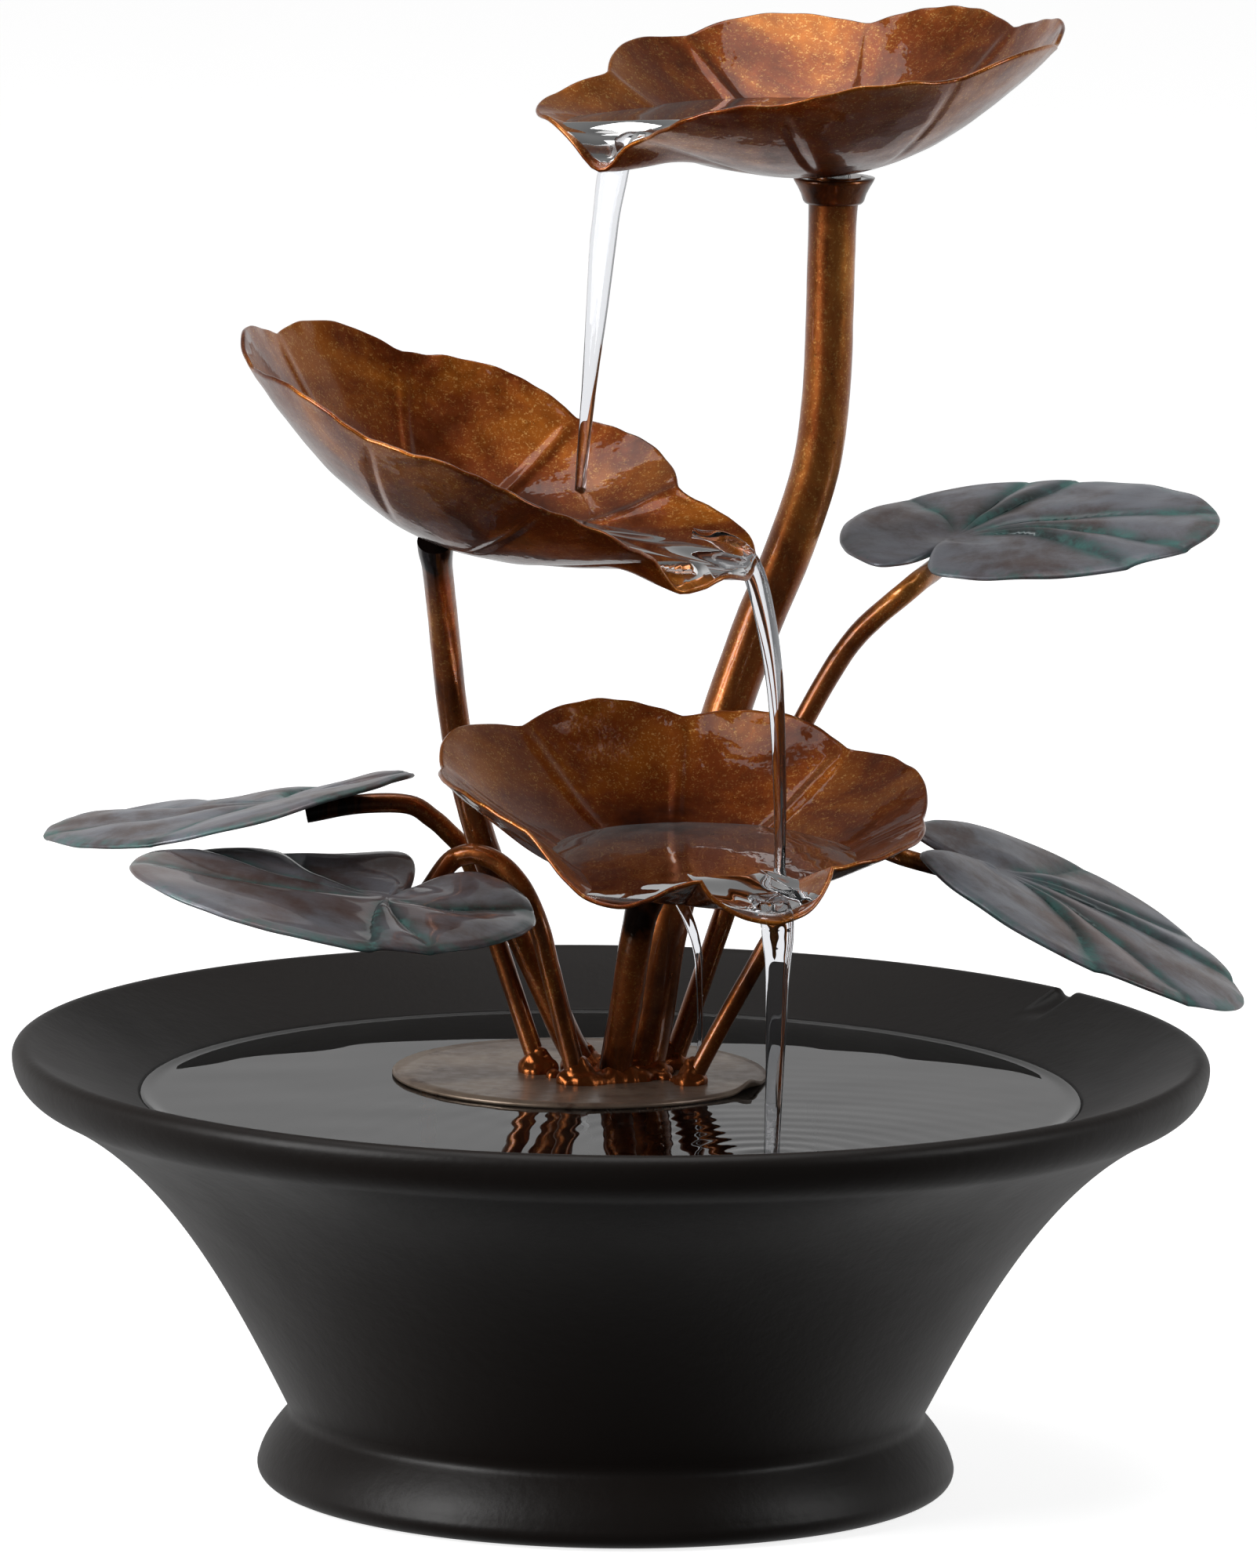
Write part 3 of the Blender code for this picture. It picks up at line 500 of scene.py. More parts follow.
def level_ring(radius: float, height: float, angles: np.ndarray) -> np.ndarray:
    """A level circle of points about the upright axis, at angles in radians."""
    return np.stack([radius * np.cos(angles), radius * np.sin(angles), np.full(len(angles), height)], 1)


def degrees_from(angles: np.ndarray, middle: float) -> np.ndarray:
    """How far angles are from a middle one, from -180 to 180, all in degrees."""
    return (angles - middle + 180) % 360 - 180


def turned_from(angles: np.ndarray, middle: float) -> np.ndarray:
    """How far angles in radians are from a middle one, from -180 to 180 degrees."""
    return np.degrees(np.arctan2(np.sin(angles - middle), np.cos(angles - middle)))


def sheet_normals(points: np.ndarray) -> np.ndarray:
    """Upward unit normals of a sheet whose points go round in rings, (rings, spokes, 3)."""
    out = np.gradient(points, axis=0)
    wrapped = np.concatenate([points[:, -1:], points, points[:, :1]], axis=1)
    along = (wrapped[:, 2:] - wrapped[:, :-2]) / 2
    normal = np.cross(out, along)
    length = np.linalg.norm(normal, axis=-1, keepdims=True)
    return normal / np.maximum(length, 1e-9)


def ripple(points: np.ndarray, size: float, seed: int, octaves: int = 2) -> np.ndarray:
    """Soft random relief over points.

    Args:
        points: positions in metres, as rows of any shape.
        size: the size of one cloud, in metres.
        seed: which pattern.
        octaves: how many finer layers there are.

    Returns:
        The relief, about -1 to 1, one number for each point.
    """
    waves_in_octave = 7
    usual_height = 5.2
    random = np.random.default_rng(seed)
    total = np.zeros(points.shape[:-1])
    for octave in range(octaves):
        for _ in range(waves_in_octave):
            direction = random.normal(size=3)
            direction /= np.linalg.norm(direction)
            wave = 2 * math.pi / (size * random.uniform(0.7, 1.5) / 2 ** octave)
            total += np.sin(points @ direction * wave + random.uniform(0, 2 * math.pi)) / 2 ** octave
    return total / usual_height


def loft(name: str, rings: list[np.ndarray], around: bool = False, slots: list[int] | None = None,
         flip: bool = False) -> bpy.types.Mesh:
    """A closed mesh over a row of rings.

    Args:
        name: the mesh's name.
        rings: (n, 3) points each, in metres; a ring of one point is a pole.
        around: the last ring joins the first.
        slots: a material slot for each band between two rings.
        flip: turns the faces round.

    Returns:
        The mesh, shaded smooth.
    """
    starts = np.cumsum([0] + [len(ring) for ring in rings])
    pairs = [(i, i + 1) for i in range(len(rings) - 1)]
    if around:
        pairs.append((len(rings) - 1, 0))
    faces: list[tuple[int, ...]] = []
    marks: list[int] = []
    for band, (low, high) in enumerate(pairs):
        count = max(len(rings[low]), len(rings[high]))
        first = [starts[low] + (k % len(rings[low])) for k in range(count)]
        second = [starts[high] + (k % len(rings[high])) for k in range(count)]
        for k in range(count):
            n = (k + 1) % count
            face = tuple(dict.fromkeys((first[k], first[n], second[n], second[k])))
            if len(face) < 3:
                continue
            faces.append(face[::-1] if flip else face)
            marks.append(slots[band] if slots else 0)
    if not around:
        for ring, reverse in ((0, True), (len(rings) - 1, False)):
            if len(rings[ring]) > 1:
                cap = tuple(range(starts[ring], starts[ring + 1]))
                faces.append(cap[::-1] if reverse != flip else cap)
                marks.append(slots[0 if ring == 0 else -1] if slots else 0)
    mesh = bpy.data.meshes.new(name)
    mesh.from_pydata(np.concatenate(rings).tolist(), [], faces)
    mesh.polygons.foreach_set("material_index", marks)
    mesh.shade_smooth()
    return mesh


def give(mesh: bpy.types.Mesh, name: str, values: np.ndarray) -> None:
    """Stores a number on each of the mesh's points."""
    attribute = mesh.attributes.new(name, "FLOAT", "POINT")
    attribute.data.foreach_set("value", np.asarray(values, np.float32).ravel())


def stand(name: str, mesh: bpy.types.Mesh, finishes: list[bpy.types.Material], body: Body,
          replaces: tuple[str, ...] = ()) -> bpy.types.Object:
    """Puts a finished piece in the scene.

    Args:
        name: the piece's name.
        mesh: its mesh, in the fountain's own frame.
        finishes: the materials of its slots.
        body: the rigid body that it moves with.
        replaces: the solids that it stands for.

    Returns:
        The piece.
    """
    mesh.materials.clear()
    for finish in finishes:
        mesh.materials.append(finish)
    piece = bpy.data.objects.new(name, mesh)
    bpy.context.scene.collection.objects.link(piece)
    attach(piece, body.value)
    if replaces:
        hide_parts(*replaces)
    log.info("%s: %d faces on %s", name, len(mesh.polygons), body.value)
    return piece


def turned(name: str, profile: list[Pair], count: int, centre: Point) -> bpy.types.Mesh:
    """A ring-shaped body turned about an upright axis.

    Args:
        name: the mesh's name.
        profile: the section's (r, z) points in millimetres, all off the axis.
        count: how many points there are round the body.
        centre: where the axis's zero height is, in millimetres.

    Returns:
        The mesh.
    """
    angles = all_round(count)
    rings = [(level_ring(radius, height, angles) + np.array(centre)) * MM for radius, height in profile]
    return loft(name, rings, around=True)


def arc(centre: Pair, radius: float, start: float, end: float, steps: int) -> list[Pair]:
    """Points on an arc, both ends included.

    Args:
        centre: the arc's middle.
        radius: its radius.
        start: the first point's angle, in degrees.
        end: the last point's angle, in degrees.
        steps: how many steps there are between the ends.

    Returns:
        The points.
    """
    angles = np.radians(np.linspace(start, end, steps + 1))
    return [(centre[0] + radius * math.cos(a), centre[1] + radius * math.sin(a)) for a in angles]


def bezier(p0: Pair, p1: Pair, p2: Pair, p3: Pair, steps: int) -> list[Pair]:
    """Points on a cubic curve, both ends included.

    Args:
        p0: where the curve starts.
        p1: what it leaves its start towards.
        p2: what it comes to its end from.
        p3: where it ends.
        steps: how many steps there are between the ends.

    Returns:
        The points.
    """
    t = np.linspace(0, 1, steps + 1)[:, None]
    a, b, c, d = (np.array(p, float) for p in (p0, p1, p2, p3))
    curve = (1 - t) ** 3 * a + 3 * t * (1 - t) ** 2 * b + 3 * t * t * (1 - t) * c + t ** 3 * d
    return [tuple(point) for point in curve]


def smooth_route(points: np.ndarray, steps: int) -> np.ndarray:
    """A smooth curve through points.

    Args:
        points: the route's own points.
        steps: how many steps there are between each two of them.

    Returns:
        The curve's points, the last one included.
    """
    knots = np.asarray(points, float)
    ends = np.concatenate([[2 * knots[0] - knots[1]], knots, [2 * knots[-1] - knots[-2]]])
    t = np.linspace(0, 1, steps, endpoint=False)[:, None]
    parts = []
    for i in range(1, len(ends) - 2):
        a, b, c, d = ends[i - 1:i + 3]
        parts.append(0.5 * (2 * b + (c - a) * t + (2 * a - 5 * b + 4 * c - d) * t ** 2
                            + (3 * b - a - 3 * c + d) * t ** 3))
    return np.concatenate(parts + [knots[-1:]])


def frame_at(centre: Point, turn: Point) -> Matrix:
    """The frame of a dish or a leaf, from its middle in millimetres and its turn in degrees."""
    spin = Euler([math.radians(angle) for angle in turn], "XYZ").to_matrix().to_4x4()
    return Matrix.Translation(Vector(centre) * MM) @ spin


def carry(matrix: Matrix, points: np.ndarray) -> np.ndarray:
    """Points in millimetres in a frame, turned into metres in the fountain's own frame."""
    m = np.array(matrix)
    return points * MM @ m[:3, :3].T + m[:3, 3]


# ---------------------------------------------------------------- Geometry Nodes


class GeometryTree:
    """A Geometry Nodes tree built in code, with named inputs."""

    def __init__(self, name: str, inputs: dict[str, tuple[str, object]]) -> None:
        """Starts a tree.

        Args:
            name: the tree's name.
            inputs: each input's socket type and default, besides the geometry.
        """
        self.tree = bpy.data.node_groups.new(name, "GeometryNodeTree")
        self.keys: dict[str, str] = {}
        face = self.tree.interface
        face.new_socket("Geometry", in_out="INPUT", socket_type="NodeSocketGeometry")
        for label, (kind, default) in inputs.items():
            item = face.new_socket(label, in_out="INPUT", socket_type=kind)
            if default is not None:
                item.default_value = default
            self.keys[label] = item.identifier
        face.new_socket("Geometry", in_out="OUTPUT", socket_type="NodeSocketGeometry")
        self.start = self.add("NodeGroupInput")
        self.end = self.add("NodeGroupOutput")

    def add(self, kind: str, **settings: object) -> bpy.types.Node:
        """Adds a node and sets its options."""
        node = self.tree.nodes.new(kind)
        for name, value in settings.items():
            setattr(node, name, value)
        return node

    def join(self, out: bpy.types.NodeSocket, into: bpy.types.NodeSocket) -> None:
        """Links two sockets."""
        self.tree.links.new(out, into)

    def given(self, label: str) -> bpy.types.NodeSocket:
        """One of the tree's own inputs."""
        return self.start.outputs[label]

    def read(self, name: str) -> bpy.types.NodeSocket:
        """A number stored on the geometry's points."""
        node = self.add("GeometryNodeInputNamedAttribute", data_type="FLOAT")
        node.inputs["Name"].default_value = name
        return node.outputs["Attribute"]

    def close(self, geometry: bpy.types.NodeSocket) -> None:
        """Ends the tree: smooth shading, real geometry and the given material."""
        shade = self.add("GeometryNodeSetShadeSmooth")
        real = self.add("GeometryNodeRealizeInstances")
        dress = self.add("GeometryNodeSetMaterial")
        self.join(geometry, shade.inputs[0])
        self.join(shade.outputs[0], real.inputs[0])
        self.join(real.outputs[0], dress.inputs["Geometry"])
        self.join(self.given("Finish"), dress.inputs["Material"])
        self.join(dress.outputs[0], self.end.inputs[0])

    def roughen(self, geometry: bpy.types.NodeSocket) -> bpy.types.NodeSocket:
        """Moves the surface in and out by the inputs Relief and Relief Scale."""
        cloud = self.add("ShaderNodeTexNoise")
        self.join(self.given("Relief Scale"), cloud.inputs["Scale"])
        centred = self.add("ShaderNodeMath", operation="SUBTRACT")
        self.join(cloud.outputs["Fac"], centred.inputs[0])
        centred.inputs[1].default_value = 0.5
        depth = self.add("ShaderNodeMath", operation="MULTIPLY")
        self.join(centred.outputs[0], depth.inputs[0])
        self.join(self.given("Relief"), depth.inputs[1])
        normal = self.add("GeometryNodeInputNormal")
        offset = self.add("ShaderNodeVectorMath", operation="SCALE")
        self.join(normal.outputs[0], offset.inputs[0])
        self.join(depth.outputs[0], offset.inputs["Scale"])
        move = self.add("GeometryNodeSetPosition")
        self.join(geometry, move.inputs["Geometry"])
        self.join(offset.outputs[0], move.inputs["Offset"])
        return move.outputs[0]

    def melt(self, geometry: bpy.types.NodeSocket) -> bpy.types.NodeSocket:
        """Rounds the surface off by the input Melting, so that neighbours run into each other."""
        place = self.add("GeometryNodeInputPosition")
        blur = self.add("GeometryNodeBlurAttribute", data_type="FLOAT_VECTOR")
        value = next(socket for socket in blur.inputs if socket.type == "VECTOR" and socket.enabled)
        self.join(place.outputs[0], value)
        self.join(self.given("Melting"), blur.inputs["Iterations"])
        blurred = next(socket for socket in blur.outputs if socket.type == "VECTOR")
        move = self.add("GeometryNodeSetPosition")
        self.join(geometry, move.inputs["Geometry"])
        self.join(blurred, move.inputs["Position"])
        return move.outputs[0]

    def grow(self, name: str, seed_mesh: bpy.types.Mesh, values: dict[str, object]) -> bpy.types.Mesh:
        """Runs the tree on a mesh and returns the result as a plain mesh.

        Args:
            name: the new mesh's name.
            seed_mesh: what the tree starts from.
            values: the tree's inputs, by their labels.

        Returns:
            The finished mesh.
        """
        helper = bpy.data.objects.new(name + "_start", seed_mesh)
        bpy.context.scene.collection.objects.link(helper)
        modifier = helper.modifiers.new("grow", "NODES")
        modifier.node_group = self.tree
        for label, value in values.items():
            modifier[self.keys[label]] = value
        graph = bpy.context.evaluated_depsgraph_get()
        mesh = bpy.data.meshes.new_from_object(helper.evaluated_get(graph), depsgraph=graph)
        mesh.name = name
        helper.modifiers.remove(modifier)
        bpy.data.objects.remove(helper)
        return mesh


def make_sweep_tree() -> GeometryTree:
    """The tree that draws a round bar along a line of points, as wide as their width says."""
    tree = GeometryTree("bar_along_a_line", {
        "Radius": ("NodeSocketFloat", 0.002), "Spacing": ("NodeSocketFloat", 0.001),
        "Sides": ("NodeSocketInt", 28), "Relief": ("NodeSocketFloat", 0.0),
        "Relief Scale": ("NodeSocketFloat", 120.0), "Finish": ("NodeSocketMaterial", None)})
    line = tree.add("GeometryNodeMeshToCurve")
    width = tree.add("GeometryNodeSetCurveRadius")
    spaced = tree.add("GeometryNodeResampleCurve", mode="LENGTH")
    ring = tree.add("GeometryNodeCurvePrimitiveCircle", mode="RADIUS")
    bar = tree.add("GeometryNodeCurveToMesh")
    tree.join(tree.given("Geometry"), line.inputs["Mesh"])
    tree.join(line.outputs[0], width.inputs["Curve"])
    tree.join(tree.read("width"), width.inputs["Radius"])
    tree.join(width.outputs[0], spaced.inputs["Curve"])
    tree.join(tree.given("Spacing"), spaced.inputs["Length"])
    tree.join(tree.given("Sides"), ring.inputs["Resolution"])
    tree.join(tree.given("Radius"), ring.inputs["Radius"])
    tree.join(spaced.outputs[0], bar.inputs["Curve"])
    tree.join(ring.outputs[0], bar.inputs["Profile Curve"])
    bar.inputs["Fill Caps"].default_value = True
    if "Scale" in bar.inputs:
        tree.join(tree.read("width"), bar.inputs["Scale"])
    tree.close(tree.roughen(bar.outputs[0]))
    return tree


def make_weld_tree() -> GeometryTree:
    """The tree that melts beads at points into one lumpy weld."""
    tree = GeometryTree("melted_beads", {
        "Voxel": ("NodeSocketFloat", 0.0002), "Relief": ("NodeSocketFloat", 0.0004),
        "Relief Scale": ("NodeSocketFloat", 700.0), "Seed": ("NodeSocketInt", 3),
        "Melting": ("NodeSocketInt", 8), "Finish": ("NodeSocketMaterial", None)})
    bead = tree.add("GeometryNodeMeshIcoSphere")
    bead.inputs["Radius"].default_value = 1.0
    bead.inputs["Subdivisions"].default_value = 3
    chance = tree.add("FunctionNodeRandomValue", data_type="FLOAT")
    tree.join(tree.given("Seed"), chance.inputs["Seed"])
    numbers = [socket for socket in chance.inputs if socket.type == "VALUE"]
    next(socket for socket in numbers if socket.name == "Min").default_value = 0.8
    next(socket for socket in numbers if socket.name == "Max").default_value = 1.2
    size = tree.add("ShaderNodeMath", operation="MULTIPLY")
    tree.join(next(socket for socket in chance.outputs if socket.type == "VALUE"), size.inputs[0])
    tree.join(tree.read("width"), size.inputs[1])
    copies = tree.add("GeometryNodeInstanceOnPoints")
    tree.join(tree.given("Geometry"), copies.inputs["Points"])
    tree.join(bead.outputs["Mesh"], copies.inputs["Instance"])
    tree.join(size.outputs[0], copies.inputs["Scale"])
    real = tree.add("GeometryNodeRealizeInstances")
    tree.join(copies.outputs[0], real.inputs[0])
    fog = tree.add("GeometryNodeMeshToVolume", resolution_mode="VOXEL_SIZE")
    tree.join(real.outputs[0], fog.inputs["Mesh"])
    tree.join(tree.given("Voxel"), fog.inputs["Voxel Size"])
    skin = tree.add("GeometryNodeVolumeToMesh", resolution_mode="VOXEL_SIZE")
    tree.join(fog.outputs[0], skin.inputs["Volume"])
    tree.join(tree.given("Voxel"), skin.inputs["Voxel Size"])
    melted = tree.melt(skin.outputs[0])
    tree.close(tree.roughen(melted))
    return tree


# ---------------------------------------------------------------- basin


@dataclass
class Basin:
    """The turned and glazed bowl, with a small notch in its lip. Sizes are in millimetres."""

    rim_radius: float = 114.5
    rim_height: float = 84.7
    lip: float = 2.3
    under_lip: float = 8.3
    foot_radius: float = 66.85
    foot_edge: float = 3.0
    foot_underside: float = 0.4
    floor_height: float = 10.0
    notch_angle: float = math.radians(37.6)
    notch_depth: float = 1.3
    notch_half_width: float = 3.2
    water_line: Pair = (90.5, 75.6)

    def inside(self) -> list[Pair]:
        """The wall's inner line, from the lip's top to the floor's middle."""
        centre = (self.rim_radius - self.lip, self.rim_height - self.lip)
        top = arc(centre, self.lip, 114, 114, 1)[0]
        shelf = bezier(top, (104.5, 81.2), (97.5, 78.5), self.water_line, 24)
        wall = bezier(self.water_line, (82, 70.5), (65, 40), (56, 16), 40)[1:]
        fillet = arc((50, 16), 6, 0, -90, 10)[1:]
        flat = [(radius, self.floor_height) for radius in (38, 24, 10)]
        return shelf + wall + fillet + flat + [(0, self.floor_height)]

    def profile(self) -> list[Pair]:
        """The whole section, from the middle of the underside to the middle of the floor."""
        recess = self.foot_underside + 1.2
        under = [(0, recess), (30, recess), (59.6, recess), (60, recess - 0.4),
                 (60, self.foot_underside + 0.2), (60.2, self.foot_underside)]
        foot_middle = (self.foot_radius - self.foot_edge, self.foot_underside + self.foot_edge)
        foot = arc(foot_middle, self.foot_edge, -90, 24, 12)
        shoulder = bezier(foot[-1], (66.0, 7.2), (64.0, 10.2), (61.5, 12.9), 12)[1:]
        neck = bezier(shoulder[-1], (61.0, 13.5), (60.9, 13.9), (61.05, 14.8), 5)[1:]
        wall = bezier(neck[-1], (73.8, 40.1), (86.5, 63.4), (109.84, 74.94), 60)[1:]
        lip_height = self.rim_height - self.lip
        below = arc((self.rim_radius - self.under_lip, lip_height), self.under_lip, -64, 0, 16)[1:]
        lip = arc((self.rim_radius - self.lip, lip_height), self.lip, 0, 114, 12)[1:]
        return under + foot + shoulder + neck + wall + below + lip + self.inside()[1:]

    def build(self, palette: Palette) -> None:
        """Makes the bowl, with closer points round the notch in its lip."""
        coarse = all_round(240)
        fine = self.notch_angle + np.linspace(-0.09, 0.09, 40)
        angles = np.sort(np.concatenate([coarse[np.abs(coarse - self.notch_angle) > 0.092], fine]))
        rings = []
        for radius, height in self.profile():
            if radius == 0:
                rings.append(np.array([[0, 0, height]]) * MM)
                continue
            ring = level_ring(radius, height, angles)
            off = (angles - self.notch_angle) * radius
            reach = smooth(radius, 100, 106) * smooth(height, self.rim_height - 6.5, self.rim_height - 0.5)
            dent = np.clip(1 - (off / self.notch_half_width) ** 2, 0, 1) ** 0.6
            ring[:, 2] -= self.notch_depth * reach * dent
            rings.append(ring * MM)
        stand("glazed_basin", loft("glazed_basin", rings), [palette.glaze], Body.BOWL, ("basin",))


# ---------------------------------------------------------------- dishes


@dataclass(frozen=True)
class Lobe:
    """One lobe of a dish, from its crease to the next lobe's. Angles in degrees, sizes in millimetres."""

    crease: float
    radius: float
    height: float
    bulge: float = 2.2
    lift: float = 2.6
    fullness: float = 1.0


@dataclass(frozen=True)
class Curl:
    """A stretch of rim that is rolled down to pour.

    Its middle and width are in degrees, its depth in millimetres, and its start is a share of the radius.
    """

    angle: float
    width: float
    depth: float
    start: float


@dataclass
class Dish:
    """A pressed and flame-coloured dish with a pouring lip. Sizes are in millimetres."""

    name: str
    centre: Point
    tilt: Point
    lobes: list[Lobe]
    curls: tuple[Curl, ...] = ()
    hole: float = 0.0
    seed: int = 1
    base_radius: float = 45.0
    base_depth: float = 20.0
    curve: float = 1.9
    thickness: float = 0.9
    lift_off: float = 0.15
    crease_height: float = 0.55
    crease_width: float = 1.0
    dent: float = 0.22
    edge_dent: float = 0.30
    curl_end: float = 1.06
    per_lobe: int = 36
    rings: int = 56
    roll: tuple[int, ...] = (60, 20, -20, -60)

    def spokes(self) -> np.ndarray:
        """Angles round the dish, in degrees, the same number in each lobe."""
        parts = []
        for i, lobe in enumerate(self.lobes):
            end = self.lobes[(i + 1) % len(self.lobes)].crease + (360 if i + 1 == len(self.lobes) else 0)
            parts.append(np.linspace(lobe.crease, end, self.per_lobe, endpoint=False))
        return np.concatenate(parts)

    def rim(self) -> tuple[np.ndarray, np.ndarray]:
        """The rim's radius and height at each spoke."""
        t = np.linspace(0, 1, self.per_lobe, endpoint=False)
        radii, heights = [], []
        for i, lobe in enumerate(self.lobes):
            after = self.lobes[(i + 1) % len(self.lobes)]
            ease = t * t * (3 - 2 * t)
            swell = np.sin(math.pi * t) ** lobe.fullness
            radii.append(lobe.radius + (after.radius - lobe.radius) * ease + lobe.bulge * swell)
            heights.append(lobe.height + (after.height - lobe.height) * ease + lobe.lift * swell)
        return np.concatenate(radii), np.concatenate(heights)

    def sheet(self, shares: np.ndarray) -> np.ndarray:
        """The sheet's underside, before it gets its thickness.

        Args:
            shares: how far out each ring lies, from 0 at the middle to 1 at the rim.

        Returns:
            Points in millimetres in the dish's own frame, as (rings, spokes, 3).
        """
        spokes = self.spokes()
        rim_radius, rim_height = self.rim()
        s = shares[:, None]
        radius = s * (self.base_radius + (rim_radius - self.base_radius) * s ** 2)
        height = s ** self.curve * (self.base_depth + (rim_height - self.base_depth) * s ** 2)
        for lobe in self.lobes:
            off = np.radians(degrees_from(spokes, lobe.crease)) * radius
            pressed = self.crease_height * bell(off, self.crease_width) * smooth(s, 0.38, 0.62)
            height = height + pressed * (1 - 0.6 * smooth(s, 0.9, 1.0))
        for curl in self.curls:
            window = bell(degrees_from(spokes, curl.angle), curl.width)
            rolled = smooth(s, curl.start, self.curl_end) / smooth(1.0, curl.start, self.curl_end)
            height = height - curl.depth * window * rolled
        angle = np.radians(spokes)[None, :] + 0 * s
        points = np.stack([radius * np.cos(angle), radius * np.sin(angle), height], -1)
        points[..., 2] += self.dent * ripple(points * MM, 0.018, self.seed) * smooth(s, 0.15, 0.4)
        points[..., 2] += self.edge_dent * ripple(points * MM, 0.007, self.seed + 9, 1) * smooth(s, 0.93, 1.0)
        return points

    def shares(self) -> np.ndarray:
        """The rings' places, closer together towards the rim."""
        first = self.hole / self.base_radius if self.hole else 0.02
        t = np.linspace(0, 1, self.rings)
        return first + (1 - first) * (1 - (1 - t) ** 1.25)

    def frame(self) -> Matrix:
        """Where the dish is."""
        return frame_at(self.centre, self.tilt)

    def rolled_edge(self, points: np.ndarray, normal: np.ndarray) -> list[np.ndarray]:
        """The rings of the rim's rounded edge.

        Args:
            points: the sheet, as (rings, spokes, 3).
            normal: its unit normals.

        Returns:
            The rings, from the inner face over the edge to the outer face.
        """
        outward = points[-1] - points[-2]
        outward /= np.linalg.norm(outward, axis=-1, keepdims=True)
        half = self.thickness / 2
        rings = []
        for degrees in self.roll:
            a = math.radians(degrees)
            across = normal[-1] * (self.lift_off + half + half * math.sin(a))
            rings.append(points[-1] + across + outward * self.thickness * 0.5 * math.cos(a))
        return rings

    def build(self, palette: Palette) -> None:
        """Makes the dish: its inner face, its rolled edge and its outer face."""
        shares = self.shares()
        points = self.sheet(shares)
        normal = sheet_normals(points)
        outer = points + self.lift_off * normal
        inner = points + (self.lift_off + self.thickness) * normal
        roll = self.rolled_edge(points, normal)
        rings = [*inner, *roll, *outer[::-1]]
        ring_shares = [*shares, *[1.0] * len(roll), *shares[::-1]]
        rise = [np.full(len(ring), share) for ring, share in zip(rings, ring_shares)]
        if not self.hole:
            top_pole = np.array([[0, 0, self.lift_off + self.thickness]])
            low_pole = np.array([[0, 0, self.lift_off]])
            rings = [top_pole, *rings, low_pole]
            rise = [np.zeros(1), *rise, np.zeros(1)]
        place = self.frame()
        rings = [carry(place, ring) for ring in rings]
        inner_bands = len(inner) - (1 if self.hole else 0)
        edge_bands = len(roll) + 1
        outer_bands = len(rings) - 1 - inner_bands - edge_bands
        slots = [0] * inner_bands + [1] * edge_bands + [2] * outer_bands + [0] * (1 if self.hole else 0)
        mesh = loft(self.name, rings, around=bool(self.hole), slots=slots)
        give(mesh, "rise", np.concatenate(rise))
        stand("pressed_" + self.name, mesh, [palette.dish, palette.edge, palette.dish_back], Body.PLANT,
              (self.name,))


TOP_DISH = Dish("top_dish", (40.6, 35, 249.0), (4.0, -7.4, 0), [
    Lobe(-9.3, 45.5, 20.4), Lobe(31.9, 44.2, 18.9), Lobe(76.6, 44.4, 19.2), Lobe(124.9, 45.2, 21.8),
    Lobe(162.0, 43.5, 21.2, bulge=11.5, lift=2.0, fullness=1.5), Lobe(219.6, 45.6, 16.0),
    Lobe(258.8, 44.2, 21.8), Lobe(304.3, 44.2, 21.4)],
    curls=(Curl(184.0, 9.0, 1.2, 0.86), Curl(208.5, 5.5, 7.5, 0.62)), hole=4.0, seed=11)
MIDDLE_DISH = Dish("middle_dish", (-34.6, -14, 184.4), (5.0, 21.1, 0), [
    Lobe(26.9, 45.1, 21.4), Lobe(66.8, 46.3, 21.6), Lobe(112.5, 46.0, 20.8), Lobe(156.2, 45.9, 20.4),
    Lobe(197.0, 46.8, 20.0), Lobe(243.1, 45.6, 21.6), Lobe(288.3, 45.4, 22.0, lift=1.0),
    Lobe(326.4, 46.6, 17.9, bulge=12.0, lift=0.5, fullness=1.3)],
    curls=(Curl(335.0, 7.0, 6.0, 0.74), Curl(353.0, 8.0, 3.5, 0.7)), seed=22)
LOWER_DISH = Dish("lower_dish", (11.1, -16, 117.9), (9.8, 5.2, 0), [
    Lobe(-0.9, 45.8, 18.9), Lobe(46.9, 45.5, 19.6), Lobe(90.9, 45.0, 18.7), Lobe(134.9, 44.4, 17.8),
    Lobe(180.5, 45.9, 19.0), Lobe(228.6, 44.2, 20.0, bulge=1.5, lift=-8.0, fullness=1.4),
    Lobe(275.1, 45.5, 17.6, bulge=5.0, lift=-6.8, fullness=0.8), Lobe(310.8, 44.6, 18.9, lift=1.0)], seed=33)


# ---------------------------------------------------------------- leaves


